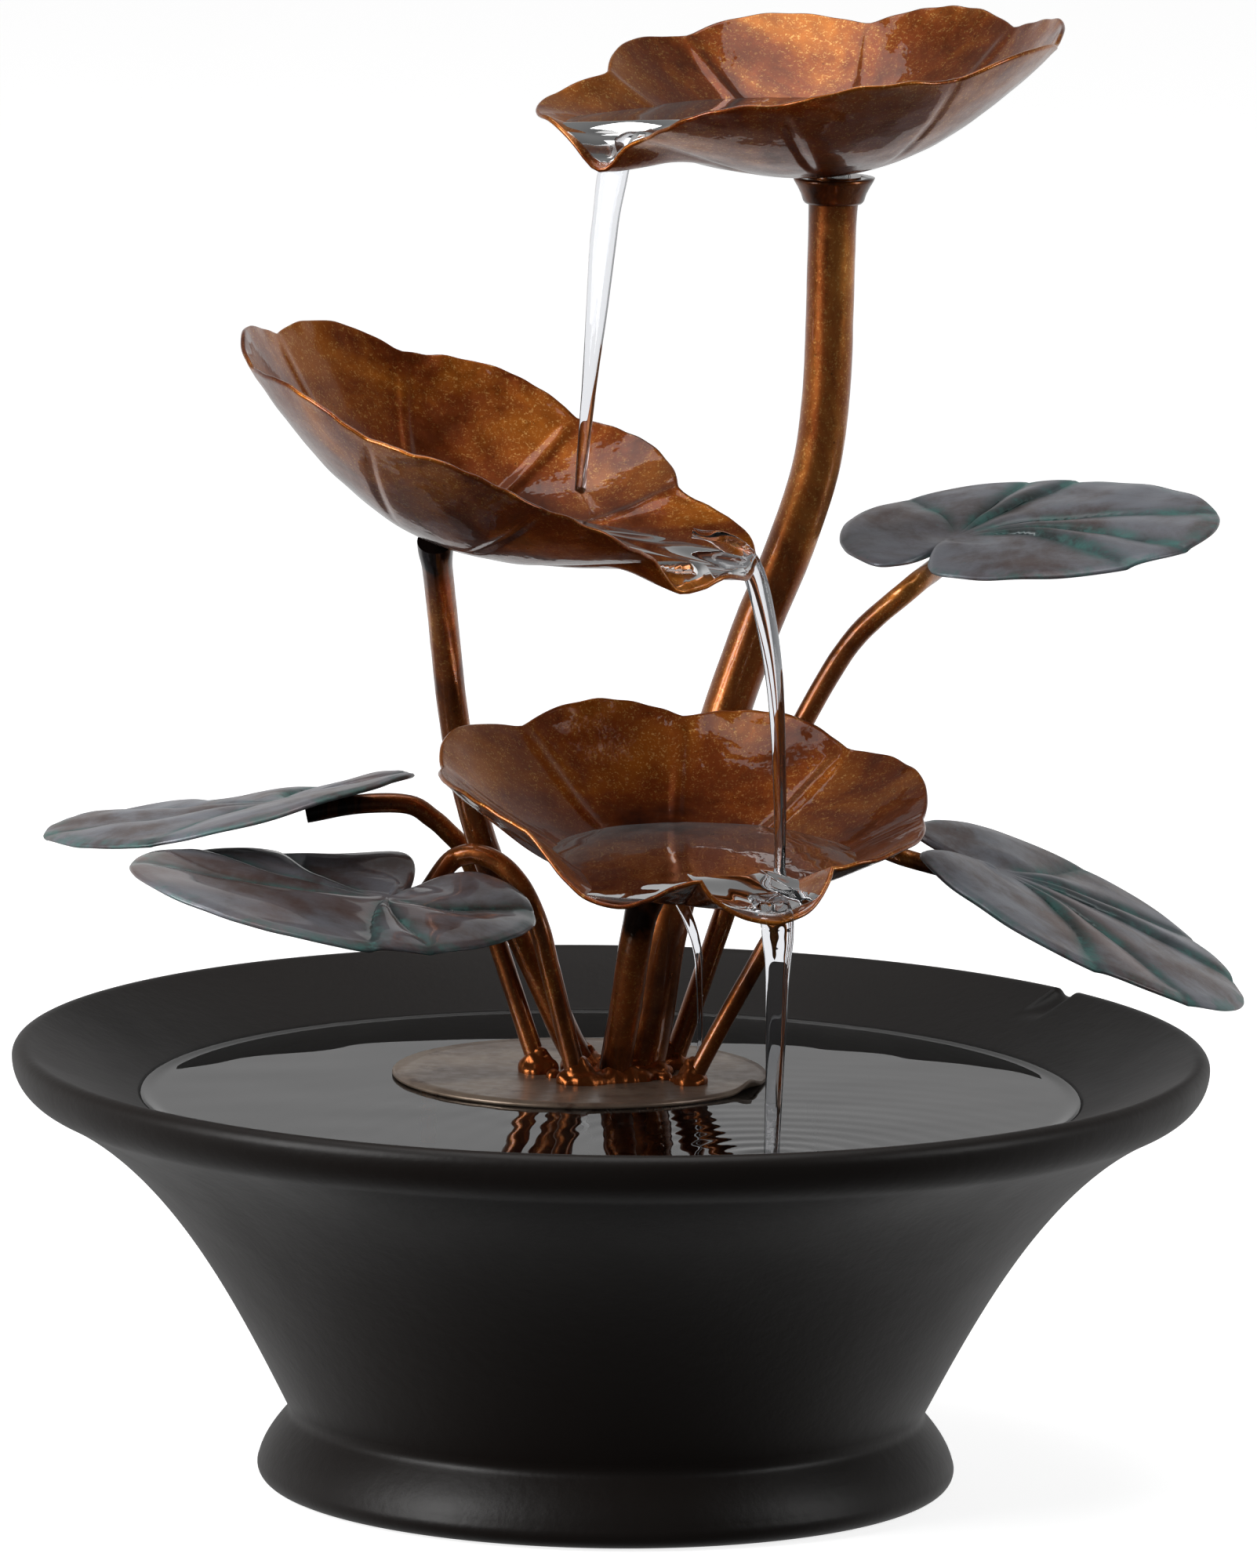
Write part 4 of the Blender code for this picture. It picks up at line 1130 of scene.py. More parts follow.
@dataclass
class Leaf:
    """A lily-pad leaf of sheet copper. Sizes are in millimetres, angles in degrees."""

    name: str
    centre: Point
    turn: Point
    half_size: Pair
    bend: Pair
    hub: Pair
    notch: float
    veins: list[Pair]
    flare: float = 0.0
    notch_depth: float = 0.72
    notch_width: float = 11.0
    thickness: float = 0.8
    wet: bool = False
    seed: int = 5
    spokes: int = 300
    rings: int = 46
    pillow: float = 1.25

    def frame(self) -> Matrix:
        """Where the leaf is."""
        return frame_at(self.centre, self.turn)

    def oval(self, angle: np.ndarray) -> np.ndarray:
        """From the hub to the oval's edge, along angles in radians."""
        a, b = self.half_size
        u, v = self.hub
        du, dv = np.cos(angle), np.sin(angle)
        qa = (du / a) ** 2 + (dv / b) ** 2
        qb = 2 * (u * du / a ** 2 + v * dv / b ** 2)
        qc = (u / a) ** 2 + (v / b) ** 2 - 1
        return (-qb + np.sqrt(qb * qb - 4 * qa * qc)) / (2 * qa)

    def reach(self, angle: np.ndarray) -> np.ndarray:
        """From the hub to the leaf's edge: the oval with its notch and a hand-cut outline."""
        cut = 1 - self.notch_depth * bell(turned_from(angle, math.radians(self.notch)), self.notch_width)
        random = np.random.default_rng(self.seed)
        wobble = sum(random.normal() * np.sin(angle * k + random.uniform(0, 6.28)) / k ** 0.8
                     for k in range(5, 26)) * 0.0045
        return self.oval(angle) * cut * (1 + wobble)

    def base_height(self, u: np.ndarray, v: np.ndarray) -> np.ndarray:
        """The bent plate before its veins are pressed."""
        return -self.bend[0] * (u / 30) ** 2 - self.bend[1] * (v / 30) ** 2

    def relief(self, angle: np.ndarray, share: np.ndarray) -> tuple[np.ndarray, np.ndarray]:
        """The pressed veins.

        Args:
            angle: radians round the hub.
            share: 0 at the hub and 1 at the edge.

        Returns:
            The height of the relief in millimetres, and how near a vein each point is.
        """
        start = math.radians(self.notch)
        axis = math.pi
        ends = sorted((math.atan2(v - self.hub[1], u - self.hub[0]) - start) % (2 * math.pi)
                      for u, v in self.veins)
        turn = (angle - start) % (2 * math.pi)
        gather = 0.5 * (1 - share) ** 1.6
        lines = [0 * share] + [end + gather * (axis - end) for end in ends] + [0 * share + 2 * math.pi]
        height = np.zeros(np.broadcast(turn, share).shape)
        near = np.zeros_like(height)
        length = self.oval(angle) * share
        for left, right in zip(lines, lines[1:]):
            t = (turn - left) / (right - left)
            inside = (t >= 0) & (t < 1)
            t = np.clip(t, 0, 1)
            swell = np.sin(math.pi * t ** 0.62) ** 0.85
            height = np.where(inside, self.pillow * swell, height)
        for line in lines[1:-1]:
            off = (turn - line) * length
            near = np.maximum(near, bell(off, 1.1 + 0.9 * share))
        fade = smooth(share, 0.03, 0.35) * (1 - 0.45 * smooth(share, 0.75, 1.0))
        return height * fade, near * smooth(share, 0.05, 0.2)

    def surface(self) -> tuple[np.ndarray, np.ndarray, np.ndarray]:
        """The leaf's underside: its points, how near a vein each is, and how near the edge."""
        angle = math.radians(self.notch) + all_round(self.spokes)[None, :]
        share = np.linspace(0.02, 1, self.rings)[:, None] + 0 * angle
        length = self.reach(angle) * share
        u = self.hub[0] + length * np.cos(angle)
        v = self.hub[1] + length * np.sin(angle)
        height, near = self.relief(angle + 0 * share, share)
        off = turned_from(angle, math.radians(self.notch))
        height = height + self.flare * bell(off, 38.0) * smooth(length / self.oval(angle), 0.25, 1.0)
        z = self.base_height(u, v) + height
        points = np.stack([u, v, z], -1)
        points[..., 2] += 0.25 * ripple(points * MM, 0.016, self.seed)
        points[..., 2] -= 0.5 * smooth(share, 0.94, 1.0)
        return points, near, smooth(share, 0.9, 1.0)

    def build(self, palette: Palette) -> None:
        """Makes the leaf: its upper face, its rounded edge and its underside."""
        points, near, edge = self.surface()
        top = points + self.thickness * sheet_normals(points)
        out = points[-1] - points[-2]
        out /= np.linalg.norm(out, axis=-1, keepdims=True)
        rim = (points[-1] + top[-1]) / 2 + out * self.thickness * 0.5
        rings = [top[0].mean(0, keepdims=True), *top, rim, *points[::-1], points[0].mean(0, keepdims=True)]
        place = self.frame()
        rings = [carry(place, ring) for ring in rings]
        slots = [0] * (len(rings) - 1)
        slots[len(top)] = 1
        slots[len(top) + 1] = 1
        mesh = loft(self.name, rings, slots=slots)
        pole = np.zeros(1)
        give(mesh, "vein", np.concatenate([pole, near.ravel(), near[-1], near[::-1].ravel(), pole]))
        give(mesh, "edge", np.concatenate([pole, edge.ravel(), edge[-1], edge[::-1].ravel(), pole]))
        finish = palette.wet_leaf if self.wet else palette.leaf
        stand("pressed_" + self.name, mesh, [finish, palette.edge], Body.PLANT, (self.name,))

    def under(self, share: float, depth: float) -> np.ndarray:
        """A point below the plate, on the line from the hub to the notch.

        Args:
            share: how far along it, from 0 at the hub to 1 at the oval.
            depth: how far below the plate, in millimetres.

        Returns:
            The point, in millimetres in the fountain's own frame.
        """
        angle = math.radians(self.notch)
        length = float(self.oval(np.array(angle))) * share
        u = self.hub[0] + length * math.cos(angle)
        v = self.hub[1] + length * math.sin(angle)
        return carry(self.frame(), np.array([u, v, float(self.base_height(u, v)) - depth])) / MM


UPPER_RIGHT = Leaf("upper_right_leaf", (79.4, 44, 178.8), (9.5, -3.9, -1.9), (36.3, 29.8), (-0.1, 0.1),
                   (-14.7, -3.7), 244, [(-21, 14.5), (-7, 14), (9, 28), (36, 4), (30.5, -17), (17, -24)],
                   seed=5)
LOWER_RIGHT = Leaf("lower_right_leaf", (88.9, 8, 109.7), (15.9, 23.3, 22.0), (36.6, 31.1), (0.5, -0.3),
                   (-15.4, 8.0), 186, [(11, 29.5), (25, 14), (35, 2), (14.5, -26), (-8, -22)], seed=6)
LEFT_BACK = Leaf("left_back_leaf", (-73.2, 24, 124.8), (1.1, -11.7, -27.2), (37.9, 31.0), (-1.4, 0.9),
                 (13.0, 4.0), 28, [(-40, 13), (-29, -14), (-21, 24), (0, -28), (5, 27)], seed=7)
LEFT_FRONT = Leaf("left_front_leaf", (-53.4, -18, 115.4), (8.2, 6.6, 25.0), (39.9, 30.9), (-0.8, 0.5),
                  (12.7, 2.1), 41, [(3, 27), (-15, 26), (-32, 11), (-3, -28), (8, -29), (40, -6)],
                  flare=3.0, wet=True, seed=8, notch_width=13.0)


# ---------------------------------------------------------------- stems and welds


@dataclass
class Stem:
    """A bent copper rod or tube. Its route is in millimetres, from its foot up."""

    name: str
    radius: float
    route: list[Point]
    leaf: Leaf | None = None
    shares: tuple[float, ...] = ()
    # how far down from the top end the painted shade under the dish or leaf reaches, in millimetres
    painted_shade_top: float = 12.0
    swell_top: float = 1.0

    def line(self) -> np.ndarray:
        """The rod's whole route, with its end under the leaf."""
        points = [np.array(point, float) for point in self.route]
        if self.leaf:
            depth = self.radius + 0.5
            points += [self.leaf.under(share, depth + share) for share in self.shares]
        return smooth_route(np.array(points), 8)

    def build(self, tree: GeometryTree, palette: Palette) -> None:
        """Sweeps the rod along its route."""
        line = self.line()
        steps = np.linalg.norm(np.diff(line, axis=0), axis=1)
        along = np.concatenate([[0], np.cumsum(steps)])
        from_top = along[-1] - along
        seed = bpy.data.meshes.new(self.name + "_route")
        seed.from_pydata((line * MM).tolist(), [(i, i + 1) for i in range(len(line) - 1)], [])
        # Darker round the feet at the waterline and lighter from the lower dish's height up; the dark band at
        # the top end, under the dish or leaf, is painted shade.
        tint = 0.72 - 0.3 * bell(line[:, 2] - 76, 16) - 0.85 * bell(from_top, self.painted_shade_top)
        tint = tint + 0.22 * smooth(line[:, 2], 120, 220)
        give(seed, "tint", np.clip(tint, 0, 1))
        give(seed, "width", 1 + 0.10 * bell(along, 2.5) + (self.swell_top - 1) * bell(from_top, 5.0))
        mesh = tree.grow(self.name, seed, {
            "Radius": self.radius * MM, "Spacing": 0.0009, "Sides": 32, "Relief": 0.00018,
            "Relief Scale": 150.0, "Finish": palette.stem})
        stand("bent_" + self.name, mesh, [palette.stem], Body.PLANT, (self.name,))


STEMS = [
    Stem("main_stem", 4.6, [(5.6, 19, 57.3), (5.6, 19, 68), (5.8, 19, 77), (7.5, 20, 88), (9.7, 22, 103),
                            (13.5, 26, 117), (17.5, 30, 131), (20.8, 32, 143), (26.9, 34, 161),
                            (32.9, 35, 176), (37.8, 35, 192), (39.6, 35, 207), (40.0, 35, 222),
                            (40.2, 35, 237), (40.5, 35, 248.6)],
         painted_shade_top=9.0, swell_top=1.12),
    Stem("lower_dish_stem", 3.1, [(0.6, 12, 76.5), (1.3, 10, 82), (2.6, 5, 91), (4.0, -2, 103),
                                  (5.2, -7, 111), (6.8, -10.5, 117.6)],
         swell_top=1.25),
    Stem("middle_dish_stem", 2.9, [(-5.1, 22, 76.5), (-8.7, 21, 83), (-14.9, 19, 97), (-21.4, 18, 111),
                                   (-25.7, 18, 122.3), (-29.2, 17, 135.4), (-31.3, 14, 148),
                                   (-32.6, 7, 160.5), (-33.6, -2, 171.5), (-34.4, -11, 180.5),
                                   (-34.6, -13.8, 184.0)],
         painted_shade_top=7.0, swell_top=1.2),
    Stem("upper_right_stem", 2.1, [(11.6, 25, 76.5), (16, 26, 89.4), (21.2, 27, 105.4), (27.8, 28, 125.2),
                                   (35.1, 28, 141.7), (45, 28, 159.1)], UPPER_RIGHT, (0.95, 0.45, 0.02)),
    Stem("lower_right_stem", 1.7, [(15.4, 8, 76.5), (21.8, 8, 89), (29, 8, 102.4), (34.2, 8, 112),
                                   (39, 8.6, 119.5), (45, 10, 123.6)], LOWER_RIGHT, (0.95, 0.45, 0.02)),
    Stem("left_back_stem", 1.9, [(-13.7, 18, 76.5), (-18.1, 20, 89.2), (-21.9, 22, 100), (-25.7, 23, 111.5),
                                 (-28.8, 23, 118.5), (-32.1, 22.5, 122.2), (-35, 22.5, 124.7),
                                 (-39.7, 22.3, 127.4)], LEFT_BACK, (0.45, 0.02)),
    Stem("left_front_stem", 2.0, [(-6.3, 7, 76.5), (-9, 6.5, 87.2), (-12.1, 6, 99.1), (-13.7, 6, 105.5),
                                  (-15.7, 6.5, 110.7), (-18.3, 7.5, 115.1), (-21.4, 8.5, 118.1),
                                  (-24.9, 9.5, 119.7), (-28, 10.5, 119.8), (-31.6, 10.5, 118)],
         LEFT_FRONT, (0.62, 0.30, 0.02)),
]


@dataclass(frozen=True)
class Puddle:
    """The brazing round one stem's foot: its place, its ring's radius and its beads, in millimetres."""

    x: float
    y: float
    ring: float
    bead: float
    count: int = 9


@dataclass
class Welds:
    """The puddles of brazing at the stems' feet, and the drops between them. Sizes are in millimetres."""

    plate_top: float = 76.3
    seed: int = 41
    puddles: tuple[Puddle, ...] = (
        Puddle(-13.7, 18, 2.2, 2.0), Puddle(-6.3, 7, 2.4, 2.2), Puddle(-5.1, 22, 2.8, 1.9),
        Puddle(0.6, 12, 3.2, 2.0, 11), Puddle(5.6, 19, 4.6, 1.9, 14), Puddle(11.6, 25, 2.3, 1.9),
        Puddle(15.4, 8, 1.8, 1.8))
    drops: tuple[Point, ...] = (
        (-4.0, 4.6, 1.2), (-2.6, 6.0, 1.1), (-0.6, 7.6, 1.3), (1.8, 8.2, 1.3), (4.0, 8.8, 1.1),
        (6.0, 10.5, 1.2), (8.0, 12.6, 1.2), (10.4, 12.0, 1.0), (12.6, 9.6, 1.0), (-9.0, 9.0, 0.9),
        (-11.0, 12.6, 0.9), (-8.0, 5.0, 1.0), (9.0, 17.0, 1.3))

    def beads(self, puddle: Puddle, lift: float, ring_share: float, bead_share: float,
              start: float) -> list[tuple[float, float, float, float]]:
        """One ring of beads round a stem.

        Args:
            puddle: the puddle that it belongs to.
            lift: how far the ring is above the plate.
            ring_share: the ring's radius, as a share of the puddle's.
            bead_share: the beads' radius, as a share of the puddle's.
            start: the first bead's angle, in radians.

        Returns:
            Each bead's place and radius, in millimetres.
        """
        squash = 0.6
        random = np.random.default_rng(int(self.seed + 10 * puddle.x + puddle.y) % 9973)
        bead = puddle.bead * bead_share
        found = []
        for k in range(puddle.count):
            angle = 2 * math.pi * k / puddle.count + start
            reach = puddle.ring * ring_share * random.uniform(0.85, 1.15)
            higher = random.uniform(-0.2, 0.5) * bead * squash
            found.append((puddle.x + reach * math.cos(angle), puddle.y + reach * math.sin(angle),
                          self.plate_top + lift + higher, bead * random.uniform(0.75, 1.2)))
        return found

    def build(self, tree: GeometryTree, palette: Palette) -> None:
        """Makes the puddles and the drops, melted into one piece."""
        beads = []
        for puddle in self.puddles:
            beads += self.beads(puddle, 0.3, 1.0, 1.0, puddle.x)
            beads += self.beads(puddle, 2.4, 0.66, 0.72, puddle.y)
            beads += self.beads(puddle, 4.2, 0.42, 0.5, puddle.y + 1)
        beads += [(x, y, self.plate_top + 0.1, bead * 1.7) for x, y, bead in self.drops]
        data = np.array(beads)
        seed = bpy.data.meshes.new("bead_places")
        seed.from_pydata((data[:, :3] * MM).tolist(), [], [])
        give(seed, "width", data[:, 3] * MM)
        mesh = tree.grow("foot_welds", seed, {
            "Voxel": 0.00024, "Relief": 0.0003, "Relief Scale": 420.0, "Seed": 5, "Melting": 14,
            "Finish": palette.weld})
        stand("foot_welds", mesh, [palette.weld], Body.PLANT, ())


@dataclass
class BasePlate:
    """The round base plate at the water's surface, with a bent-up spot on its edge. Millimetres."""

    centre: Pair = (-6.0, 20.0)
    radius: float = 36.0
    top: float = 76.3
    thickness: float = 1.0
    edge: float = 0.4
    hole_centre: Pair = (5.65, 19.0)
    hole_radius: float = 5.1
    bent_angle: float = -0.42
    bent_width: float = 7.0
    bent_lift: float = 1.4

    def section(self) -> list[Pair]:
        """The plate's section: out along the top, round the edge and back along the underside."""
        flat = np.linspace(self.radius - self.edge, 0, 14)
        top = [(r, self.top) for r in flat[::-1][1:]]
        edge = arc((self.radius - self.edge, self.top - self.thickness / 2), 0.48, 90, -90, 8)
        return top + edge + [(r, self.top - self.thickness) for r in flat[:-1]]

    def build(self, palette: Palette) -> None:
        """Makes the plate, whose rings run from round the stem's hole to its edge."""
        angles = all_round(200)
        circle = np.stack([np.cos(angles), np.sin(angles)], 1)
        bent = self.bent_lift * bell(turned_from(angles, self.bent_angle), self.bent_width)
        rings = []
        for radius, height in self.section():
            share = radius / self.radius
            centre = np.array(self.hole_centre) * (1 - share) + np.array(self.centre) * share
            reach = self.hole_radius + (self.radius - self.hole_radius) * share if share < 0.98 else radius
            z = height + bent * smooth(share, 0.9, 1.0)
            rings.append(np.column_stack([centre + circle * reach, z]) * MM)
        mesh = loft("plate", rings, around=True, flip=True)
        stand("patinated_base_plate", mesh, [palette.plate], Body.PLANT, ("base_plate",))


@dataclass
class Collar:
    """The flared collar between the main stem and the top dish. Millimetres."""

    foot: Point = (40.4, 35.0, 243.3)
    section: tuple[Pair, ...] = ((5.0, 0.0), (5.5, 0.0), (5.9, 0.5), (6.3, 1.8), (7.0, 3.2), (7.6, 4.2),
                                 (7.9, 4.9), (5.0, 4.9))

    def build(self, palette: Palette) -> None:
        """Makes the collar."""
        mesh = turned("collar", list(self.section), 64, self.foot)
        # As dark as the main stem's top end: painted shade under the top dish.
        give(mesh, "tint", np.full(len(mesh.vertices), 0.12))
        stand("welded_collar", mesh, [palette.stem], Body.PLANT, ("top_dish_collar",))


# ---------------------------------------------------------------- water


@dataclass
class BasinWater:
    """The water in the basin: it fills the bowl up to the waterline. Millimetres."""

    basin: Basin
    level: float = 75.35
    into_wall: float = 0.4
    landing: Pair = (30.4, -62.5)
    wave_length: float = 6.5
    calm_before_wall: float = 8.0

    def build(self, palette: Palette) -> None:
        """Makes the water's body, with small ripples on top."""
        angles = all_round(200)
        inside = [(r, z) for r, z in self.basin.inside() if z < self.level - 0.1 and r > 1]
        radii, heights = zip(*inside[::-1])
        edge = np.interp(self.level, heights, radii) + self.into_wall
        top = [(r, self.level) for r in np.linspace(0, edge, 110)[1:]]
        side = [(r + self.into_wall, z - 0.3) for r, z in inside]
        rings = [np.array([[0, 0, self.level]]) * MM]
        for radius, height in top + side:
            ring = level_ring(radius, height, angles)
            if height == self.level:
                ring[:, 2] += self.waves(ring) * (1 - smooth(radius, edge - self.calm_before_wall, edge - 2))
                ring[:, 2] += 0.35 * smooth(radius, edge - 3.0, edge)
            rings.append(ring * MM)
        rings.append(np.array([[0, 0, self.basin.floor_height - 0.3]]) * MM)
        mesh = loft("basin_water", rings, flip=True)
        stand("basin_water", mesh, [palette.water], Body.BOWL)

    def waves(self, points: np.ndarray) -> np.ndarray:
        """The ripples' height, in millimetres."""
        splash = np.linalg.norm(points[:, :2] - np.array(self.landing), axis=1)
        rings = np.sin(splash * 2 * math.pi / self.wave_length) * np.exp(-splash / 26) * 0.10
        slow = ripple(points * MM, 0.030, 71, 2) * 0.045
        near_stems = bell(np.linalg.norm(points[:, :2] - np.array([2, -22]), axis=1), 30)
        return rings + slow + near_stems * ripple(points * MM, 0.011, 72, 1) * 0.05


@dataclass
class DishWater:
    """The water standing in a dish and brimming over its lip. Millimetres."""

    dish: Dish
    level: float
    slope: Pair = (0.0, 0.0)
    film: float = 1.6
    window: Pair = (0.0, 20.0)
    steps: int = 46
    rings: int = 160
    first_share: float = 0.002

    def plane(self, points: np.ndarray) -> np.ndarray:
        """The water's height over points, in millimetres."""
        x, y, _ = self.dish.centre
        return self.level + (points[..., 0] - x) * self.slope[0] + (points[..., 1] - y) * self.slope[1]

    def reach(self, wet: np.ndarray, shares: np.ndarray) -> np.ndarray:
        """How far out the water reaches at each spoke.

        Args:
            wet: whether each point of the sheet is under water, as (rings, spokes).
            shares: how far out each ring lies.

        Returns:
            The share of the way to the rim, for each spoke.
        """
        inner_rings = 9
        dry = ~wet
        dry[:inner_rings] = False
        ends = np.where(dry.any(0), shares[dry.argmax(0)], 1.0)
        ends[~wet.any(0)] = 0.05
        return np.minimum(ends, 0.998)

    def surface(self, floor: np.ndarray, film: np.ndarray, step: float) -> np.ndarray:
        """The water's height over one ring of the dish's floor.

        Args:
            floor: the ring's points, in millimetres.
            film: how thick the running water is at each point.
            step: how far out the ring is, from 0 at the middle to 1 at the water's edge.

        Returns:
            The height at each point: the level plane, falling to the film where the water runs over the lip.
        """
        plane = self.plane(floor)
        spilling = smooth(film, 0.05, 0.5) * smooth(step, 0.6, 0.95)
        height = plane * (1 - spilling) + np.minimum(plane, floor[:, 2] + film) * spilling
        return height + 0.05 * ripple(floor * MM, 0.012, self.dish.seed + 3, 2)

    def build(self, palette: Palette) -> None:
        """Makes the pool, from the dish's floor up to the water's surface."""
        shares = np.linspace(self.first_share, 1.0, self.rings)
        inside_sheet = self.dish.sheet(shares) + np.array([0, 0, self.dish.thickness * 0.6])
        sheet = carry(self.dish.frame(), inside_sheet) / MM
        flow = bell(degrees_from(self.dish.spokes(), self.window[0]), self.window[1])
        film = self.film * np.clip(flow * 1.6 - 0.25, 0, 1)
        ends = self.reach(self.plane(sheet) - sheet[..., 2] + film > 0, shares)
        columns = np.arange(sheet.shape[1])
        tops, floors = [], []
        for step in 1 - (1 - np.linspace(0, 1, self.steps)[1:]) ** 1.3:
            share = self.first_share + (ends - self.first_share) * step
            place = np.clip((share - shares[0]) / (shares[1] - shares[0]), 0, len(shares) - 1.001)
            low = place.astype(int)
            part = (place - low)[:, None]
            floor = sheet[low, columns] * (1 - part) + sheet[low + 1, columns] * part
            top = floor.copy()
            top[:, 2] = np.maximum(self.surface(floor, film, step), floor[:, 2] + 0.02)
            tops.append(top * MM)
            floors.append(floor * MM)
        rings = [tops[0].mean(0, keepdims=True), *tops, *floors[::-1], floors[0].mean(0, keepdims=True)]
        mesh = loft(self.dish.name + "_water", rings)
        stand(self.dish.name + "_water", mesh, [palette.water], Body.PLANT)


@dataclass
class Stream:
    """A falling stream of water, from a lip to where it lands. Route in millimetres."""

    name: str
    route: list[Point]
    half_widths: list[float]
    half_depths: list[float]
    facing: Pair
    twist: float = 0.0
    seed: int = 3
    sides: int = 40
    steps: int = 14

    def build(self, palette: Palette) -> None:
        """Makes the stream as one closed skin of flattened rings."""
        line = smooth_route(np.array(self.route, float), self.steps)
        knots = np.linspace(0, 1, len(self.route))
        t = np.linspace(0, 1, len(line))
        wide = np.interp(t, knots, self.half_widths)
        deep = np.interp(t, knots, self.half_depths)
        wave = np.array([[x, 0, 0] for x in t * 0.1])
        wide = wide * (1 + 0.07 * ripple(wave, 0.02, self.seed, 2))
        deep = deep * (1 + 0.10 * ripple(wave, 0.017, self.seed + 1, 2))
        along = np.gradient(line, axis=0)
        along /= np.linalg.norm(along, axis=1, keepdims=True)
        across = np.array([self.facing[0], self.facing[1], 0.0])
        angles = all_round(self.sides)
        rings = []
        for i, centre in enumerate(line):
            side = across - along[i] * (across @ along[i])
            side /= np.linalg.norm(side)
            front = np.cross(along[i], side)
            turn = self.twist * t[i]
            side, front = (side * math.cos(turn) + front * math.sin(turn),
                           front * math.cos(turn) - side * math.sin(turn))
            ring = (centre + np.outer(np.cos(angles) * wide[i], side)
                    + np.outer(np.sin(angles) * deep[i] * (1 + 0.25 * np.cos(2 * angles)), front))
            rings.append(ring * MM)
        rings = [rings[0].mean(0, keepdims=True)] + rings + [rings[-1].mean(0, keepdims=True)]
        mesh = loft(self.name, rings)
        stand(self.name, mesh, [palette.falling], Body.PLANT)


WATERS = [
    DishWater(TOP_DISH, 260.2, film=1.6, window=(208.0, 7.0)),
    DishWater(MIDDLE_DISH, 189.4, slope=(-0.115, 0.0), film=2.0, window=(355.0, 12.0)),
    DishWater(LOWER_DISH, 126.6, slope=(0.0, 0.05), film=1.8, window=(293.0, 13.0)),
]
STREAMS = [
    Stream("upper_stream", [(6.5, 18.2, 257.8), (2.4, 16.4, 257.0), (-0.6, 15.0, 254.6), (-2.0, 14.2, 250.5),
                            (-3.5, 13.2, 239.3), (-4.7, 12, 224.4), (-6.0, 11, 209.4), (-7.1, 10, 195),
                            (-7.6, 9.6, 184.6)],
           [3.6, 3.5, 3.3, 3.1, 2.9, 2.2, 1.5, 1.15, 1.1], [0.9, 1.2, 1.4, 1.4, 1.4, 1.3, 1.1, 0.95, 0.95],
           (0.95, -0.31), twist=0.5, seed=4),
    Stream("middle_stream", [(14, -16.6, 186.6), (19, -16.8, 185.6), (23.2, -17, 183.0), (26.0, -17.3, 178.4),
                             (28.4, -17.6, 168.9), (30.0, -17.8, 158.5), (30.9, -18, 146.5), (31.4, -18, 134),
                             (31.5, -18, 125.6)],
           [2.6, 2.7, 2.6, 2.5, 2.3, 2.0, 1.6, 1.35, 1.25], [0.9, 1.3, 1.6, 1.6, 1.5, 1.3, 1.1, 1.0, 1.0],
           (0.85, -0.52), twist=0.5, seed=6),
    Stream("lower_stream", [(28.2, -55.0, 123.8), (29.6, -59.4, 122.9), (30.6, -62.2, 120.6),
                            (30.9, -63.2, 116), (30.9, -63.4, 109), (30.7, -63.4, 94), (30.4, -63.4, 80),
                            (30.4, -63.4, 74.9)],
           [3.3, 3.3, 3.1, 2.8, 2.3, 1.9, 1.6, 1.5], [0.8, 1.2, 1.4, 1.4, 1.3, 1.2, 1.1, 1.1],
           (0.99, 0.1), twist=0.8, seed=8),
    Stream("back_trickle", [(7.0, 4.0, 121.4), (9.6, 7.0, 117.5), (12.6, 9.4, 112), (15.0, 10, 106.5),
                            (16.4, 10, 101), (16.8, 10, 94), (17.0, 10, 84), (17.0, 10, 76)],
           [0.5, 0.9, 1.2, 1.0, 0.8, 0.6, 0.5, 0.5], [0.4, 0.6, 0.8, 0.7, 0.6, 0.5, 0.5, 0.5],
           (1.0, 0.0), seed=9),
]


# ---------------------------------------------------------------- hidden pieces


def dress_hidden_pieces(palette: Palette) -> None:
    """Gives the pieces that keep their CAD shape their finishes: the pump, the legs, the hose and the pad."""
    slots = {entry["node"]: entry["material_slot"] for entry in frame["record"]["subparts"]}
    for name, piece in frame["nodes"].items():
        finish = palette.stock.get(slots[name])
        if finish is None:
            finish = palette.weld if slots[name] == "stem_copper_bronze" else palette.plate
        for i in range(len(piece.material_slots)):
            piece.material_slots[i].material = finish


# ---------------------------------------------------------------- studio


@dataclass
class Softbox:
    """A soft light: where it is, what it points at, its sizes in metres and its brightness."""

    name: str
    place: Point
    width: float
    height: float
    radiance: float
    aim: Point = (0.0, 0.0, 0.12)
    colour: Colour = (1.0, 1.0, 1.0)

    def build(self) -> None:
        """Makes the light."""
        light = bpy.data.lights.new(self.name, "AREA")
        light.shape = "RECTANGLE"
        light.size = self.width
        light.size_y = self.height
        light.energy = self.radiance * math.pi * self.width * self.height
        light.color = self.colour
        holder = bpy.data.objects.new(self.name, light)
        holder.location = self.place
        direction = Vector(self.aim) - Vector(self.place)
        holder.rotation_euler = direction.to_track_quat("-Z", "Y").to_euler()
        bpy.context.scene.collection.objects.link(holder)


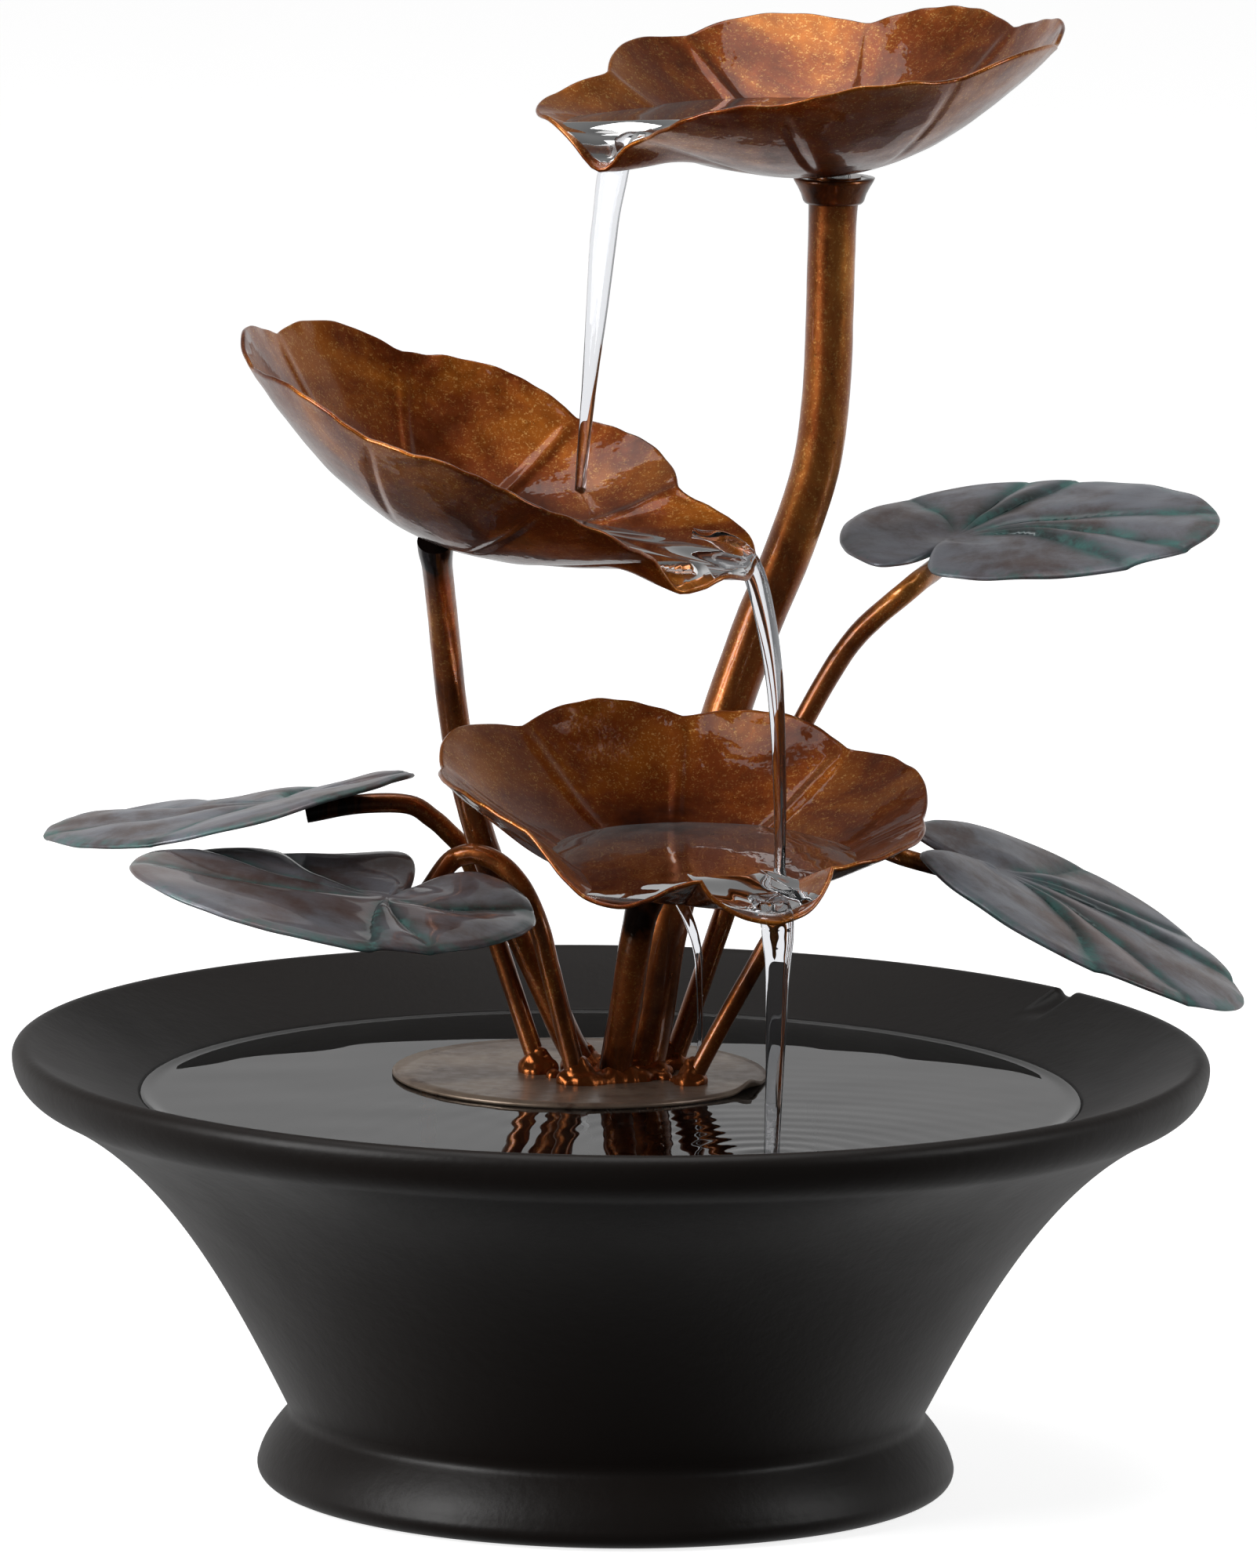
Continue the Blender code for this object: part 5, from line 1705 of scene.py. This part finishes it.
@dataclass
class Studio:
    """A pale floor, soft lights and the camera."""

    distance: float = 2.997
    height: float = 0.6296
    pitch: float = math.radians(9.36)
    yaw: float = math.radians(0.05)
    roll: float = math.radians(0.79)
    lens: float = 365.76
    sensor: float = 36.0
    floor_half: float = 9.0
    floor_glow: float = 0.80

    def camera(self) -> None:
        """Stands the camera in front of the fountain."""
        cp, sp = math.cos(self.pitch), math.sin(self.pitch)
        cy, sy = math.cos(self.yaw), math.sin(self.yaw)
        ahead = Vector((sy * cp, cy * cp, -sp))
        right = Vector((cy, -sy, 0))
        up = right.cross(ahead)
        cr, sr = math.cos(self.roll), math.sin(self.roll)
        across = right * cr + up * sr
        upward = up * cr - right * sr
        data = bpy.data.cameras.new("camera")
        data.lens = self.lens
        data.sensor_fit = "VERTICAL"
        data.sensor_height = self.sensor
        data.clip_end = 50
        holder = bpy.data.objects.new("camera", data)
        turn = Matrix((across, upward, -ahead)).transposed().to_4x4()
        holder.matrix_world = Matrix.Translation((0, -self.distance, self.height)) @ turn
        bpy.context.scene.collection.objects.link(holder)
        bpy.context.scene.camera = holder

    def floor(self) -> None:
        """Lays the pale floor, which shows to the camera and not in reflections or through water."""
        mesh = bpy.data.meshes.new("floor")
        half = self.floor_half
        corners = [(-half, -half, 0), (half, -half, 0), (half, half, 0), (-half, half, 0)]
        mesh.from_pydata(corners, [], [(0, 1, 2, 3)])
        recipe = Recipe("pale_floor")
        recipe.set(Base_Color=(0.8, 0.8, 0.8), Roughness=0.9, Specular_IOR_Level=0.1,
                   Emission_Color=(1.0, 1.0, 1.0), Emission_Strength=self.floor_glow)
        mesh.materials.append(recipe.material)
        piece = bpy.data.objects.new("floor", mesh)
        piece.visible_diffuse = False
        piece.visible_glossy = False
        piece.visible_transmission = False
        bpy.context.scene.collection.objects.link(piece)

    def world(self) -> None:
        """A white backdrop, with a dimmer room for the light and the reflections."""
        world = bpy.data.worlds.new("studio")
        world.use_nodes = True
        world.node_tree.nodes.clear()
        nodes = ShaderNodes(world.node_tree)
        path = nodes.add("ShaderNodeLightPath")
        bounces = nodes.sums("ADD", path.outputs["Diffuse Depth"], path.outputs["Glossy Depth"])
        seen = nodes.sums("LESS_THAN", bounces, 0.5)
        split = nodes.add("ShaderNodeSeparateXYZ")
        nodes.feed(split.inputs[0], nodes.add("ShaderNodeTexCoord").outputs["Generated"])
        front = nodes.span(split.outputs["Y"], -0.5, 0.8, 0.04, 0.55)
        above = nodes.span(split.outputs["Z"], 0.02, 0.6, 1.0, 0.3)
        mix = nodes.add("ShaderNodeMixShader")
        nodes.feed(mix.inputs[0], seen)
        for place, strength in ((1, nodes.times(front, above)), (2, 1.0)):
            backdrop = nodes.add("ShaderNodeBackground")
            nodes.feed(backdrop.inputs["Color"], (1.0, 1.0, 1.0))
            nodes.feed(backdrop.inputs["Strength"], strength)
            nodes.feed(mix.inputs[place], backdrop.outputs[0])
        nodes.feed(nodes.add("ShaderNodeOutputWorld").inputs["Surface"], mix.outputs[0])
        bpy.context.scene.world = world

    def build(self) -> None:
        """Sets the whole studio up."""
        self.camera()
        self.floor()
        self.world()
        for light in (
            Softbox("left_softbox", (-1.35, -0.75, 0.75), 0.7, 1.2, 8.0),
            Softbox("right_softbox", (1.5, -0.45, 0.7), 0.4, 0.9, 4.5),
            Softbox("top_softbox", (-0.1, 0.0, 1.7), 1.4, 1.2, 1.9),
        ):
            light.build()
        bpy.context.scene.view_settings.view_transform = "Standard"


# ---------------------------------------------------------------- assembly


def main() -> None:
    """Builds the studio and every piece, in order."""
    logging.basicConfig(level=logging.INFO, format="%(name)s: %(message)s")
    Studio().build()
    palette = Palette()
    dress_hidden_pieces(palette)
    basin = Basin()
    basin.build(palette)
    for dish in (TOP_DISH, MIDDLE_DISH, LOWER_DISH):
        dish.build(palette)
    for leaf in (UPPER_RIGHT, LOWER_RIGHT, LEFT_BACK, LEFT_FRONT):
        leaf.build(palette)
    sweep = make_sweep_tree()
    for stem in STEMS:
        stem.build(sweep, palette)
    Welds().build(make_weld_tree(), palette)
    BasePlate().build(palette)
    Collar().build(palette)
    BasinWater(basin).build(palette)
    for water in WATERS:
        water.build(palette)
    for stream in STREAMS:
        stream.build(palette)


if __name__ == "__main__":
    main()
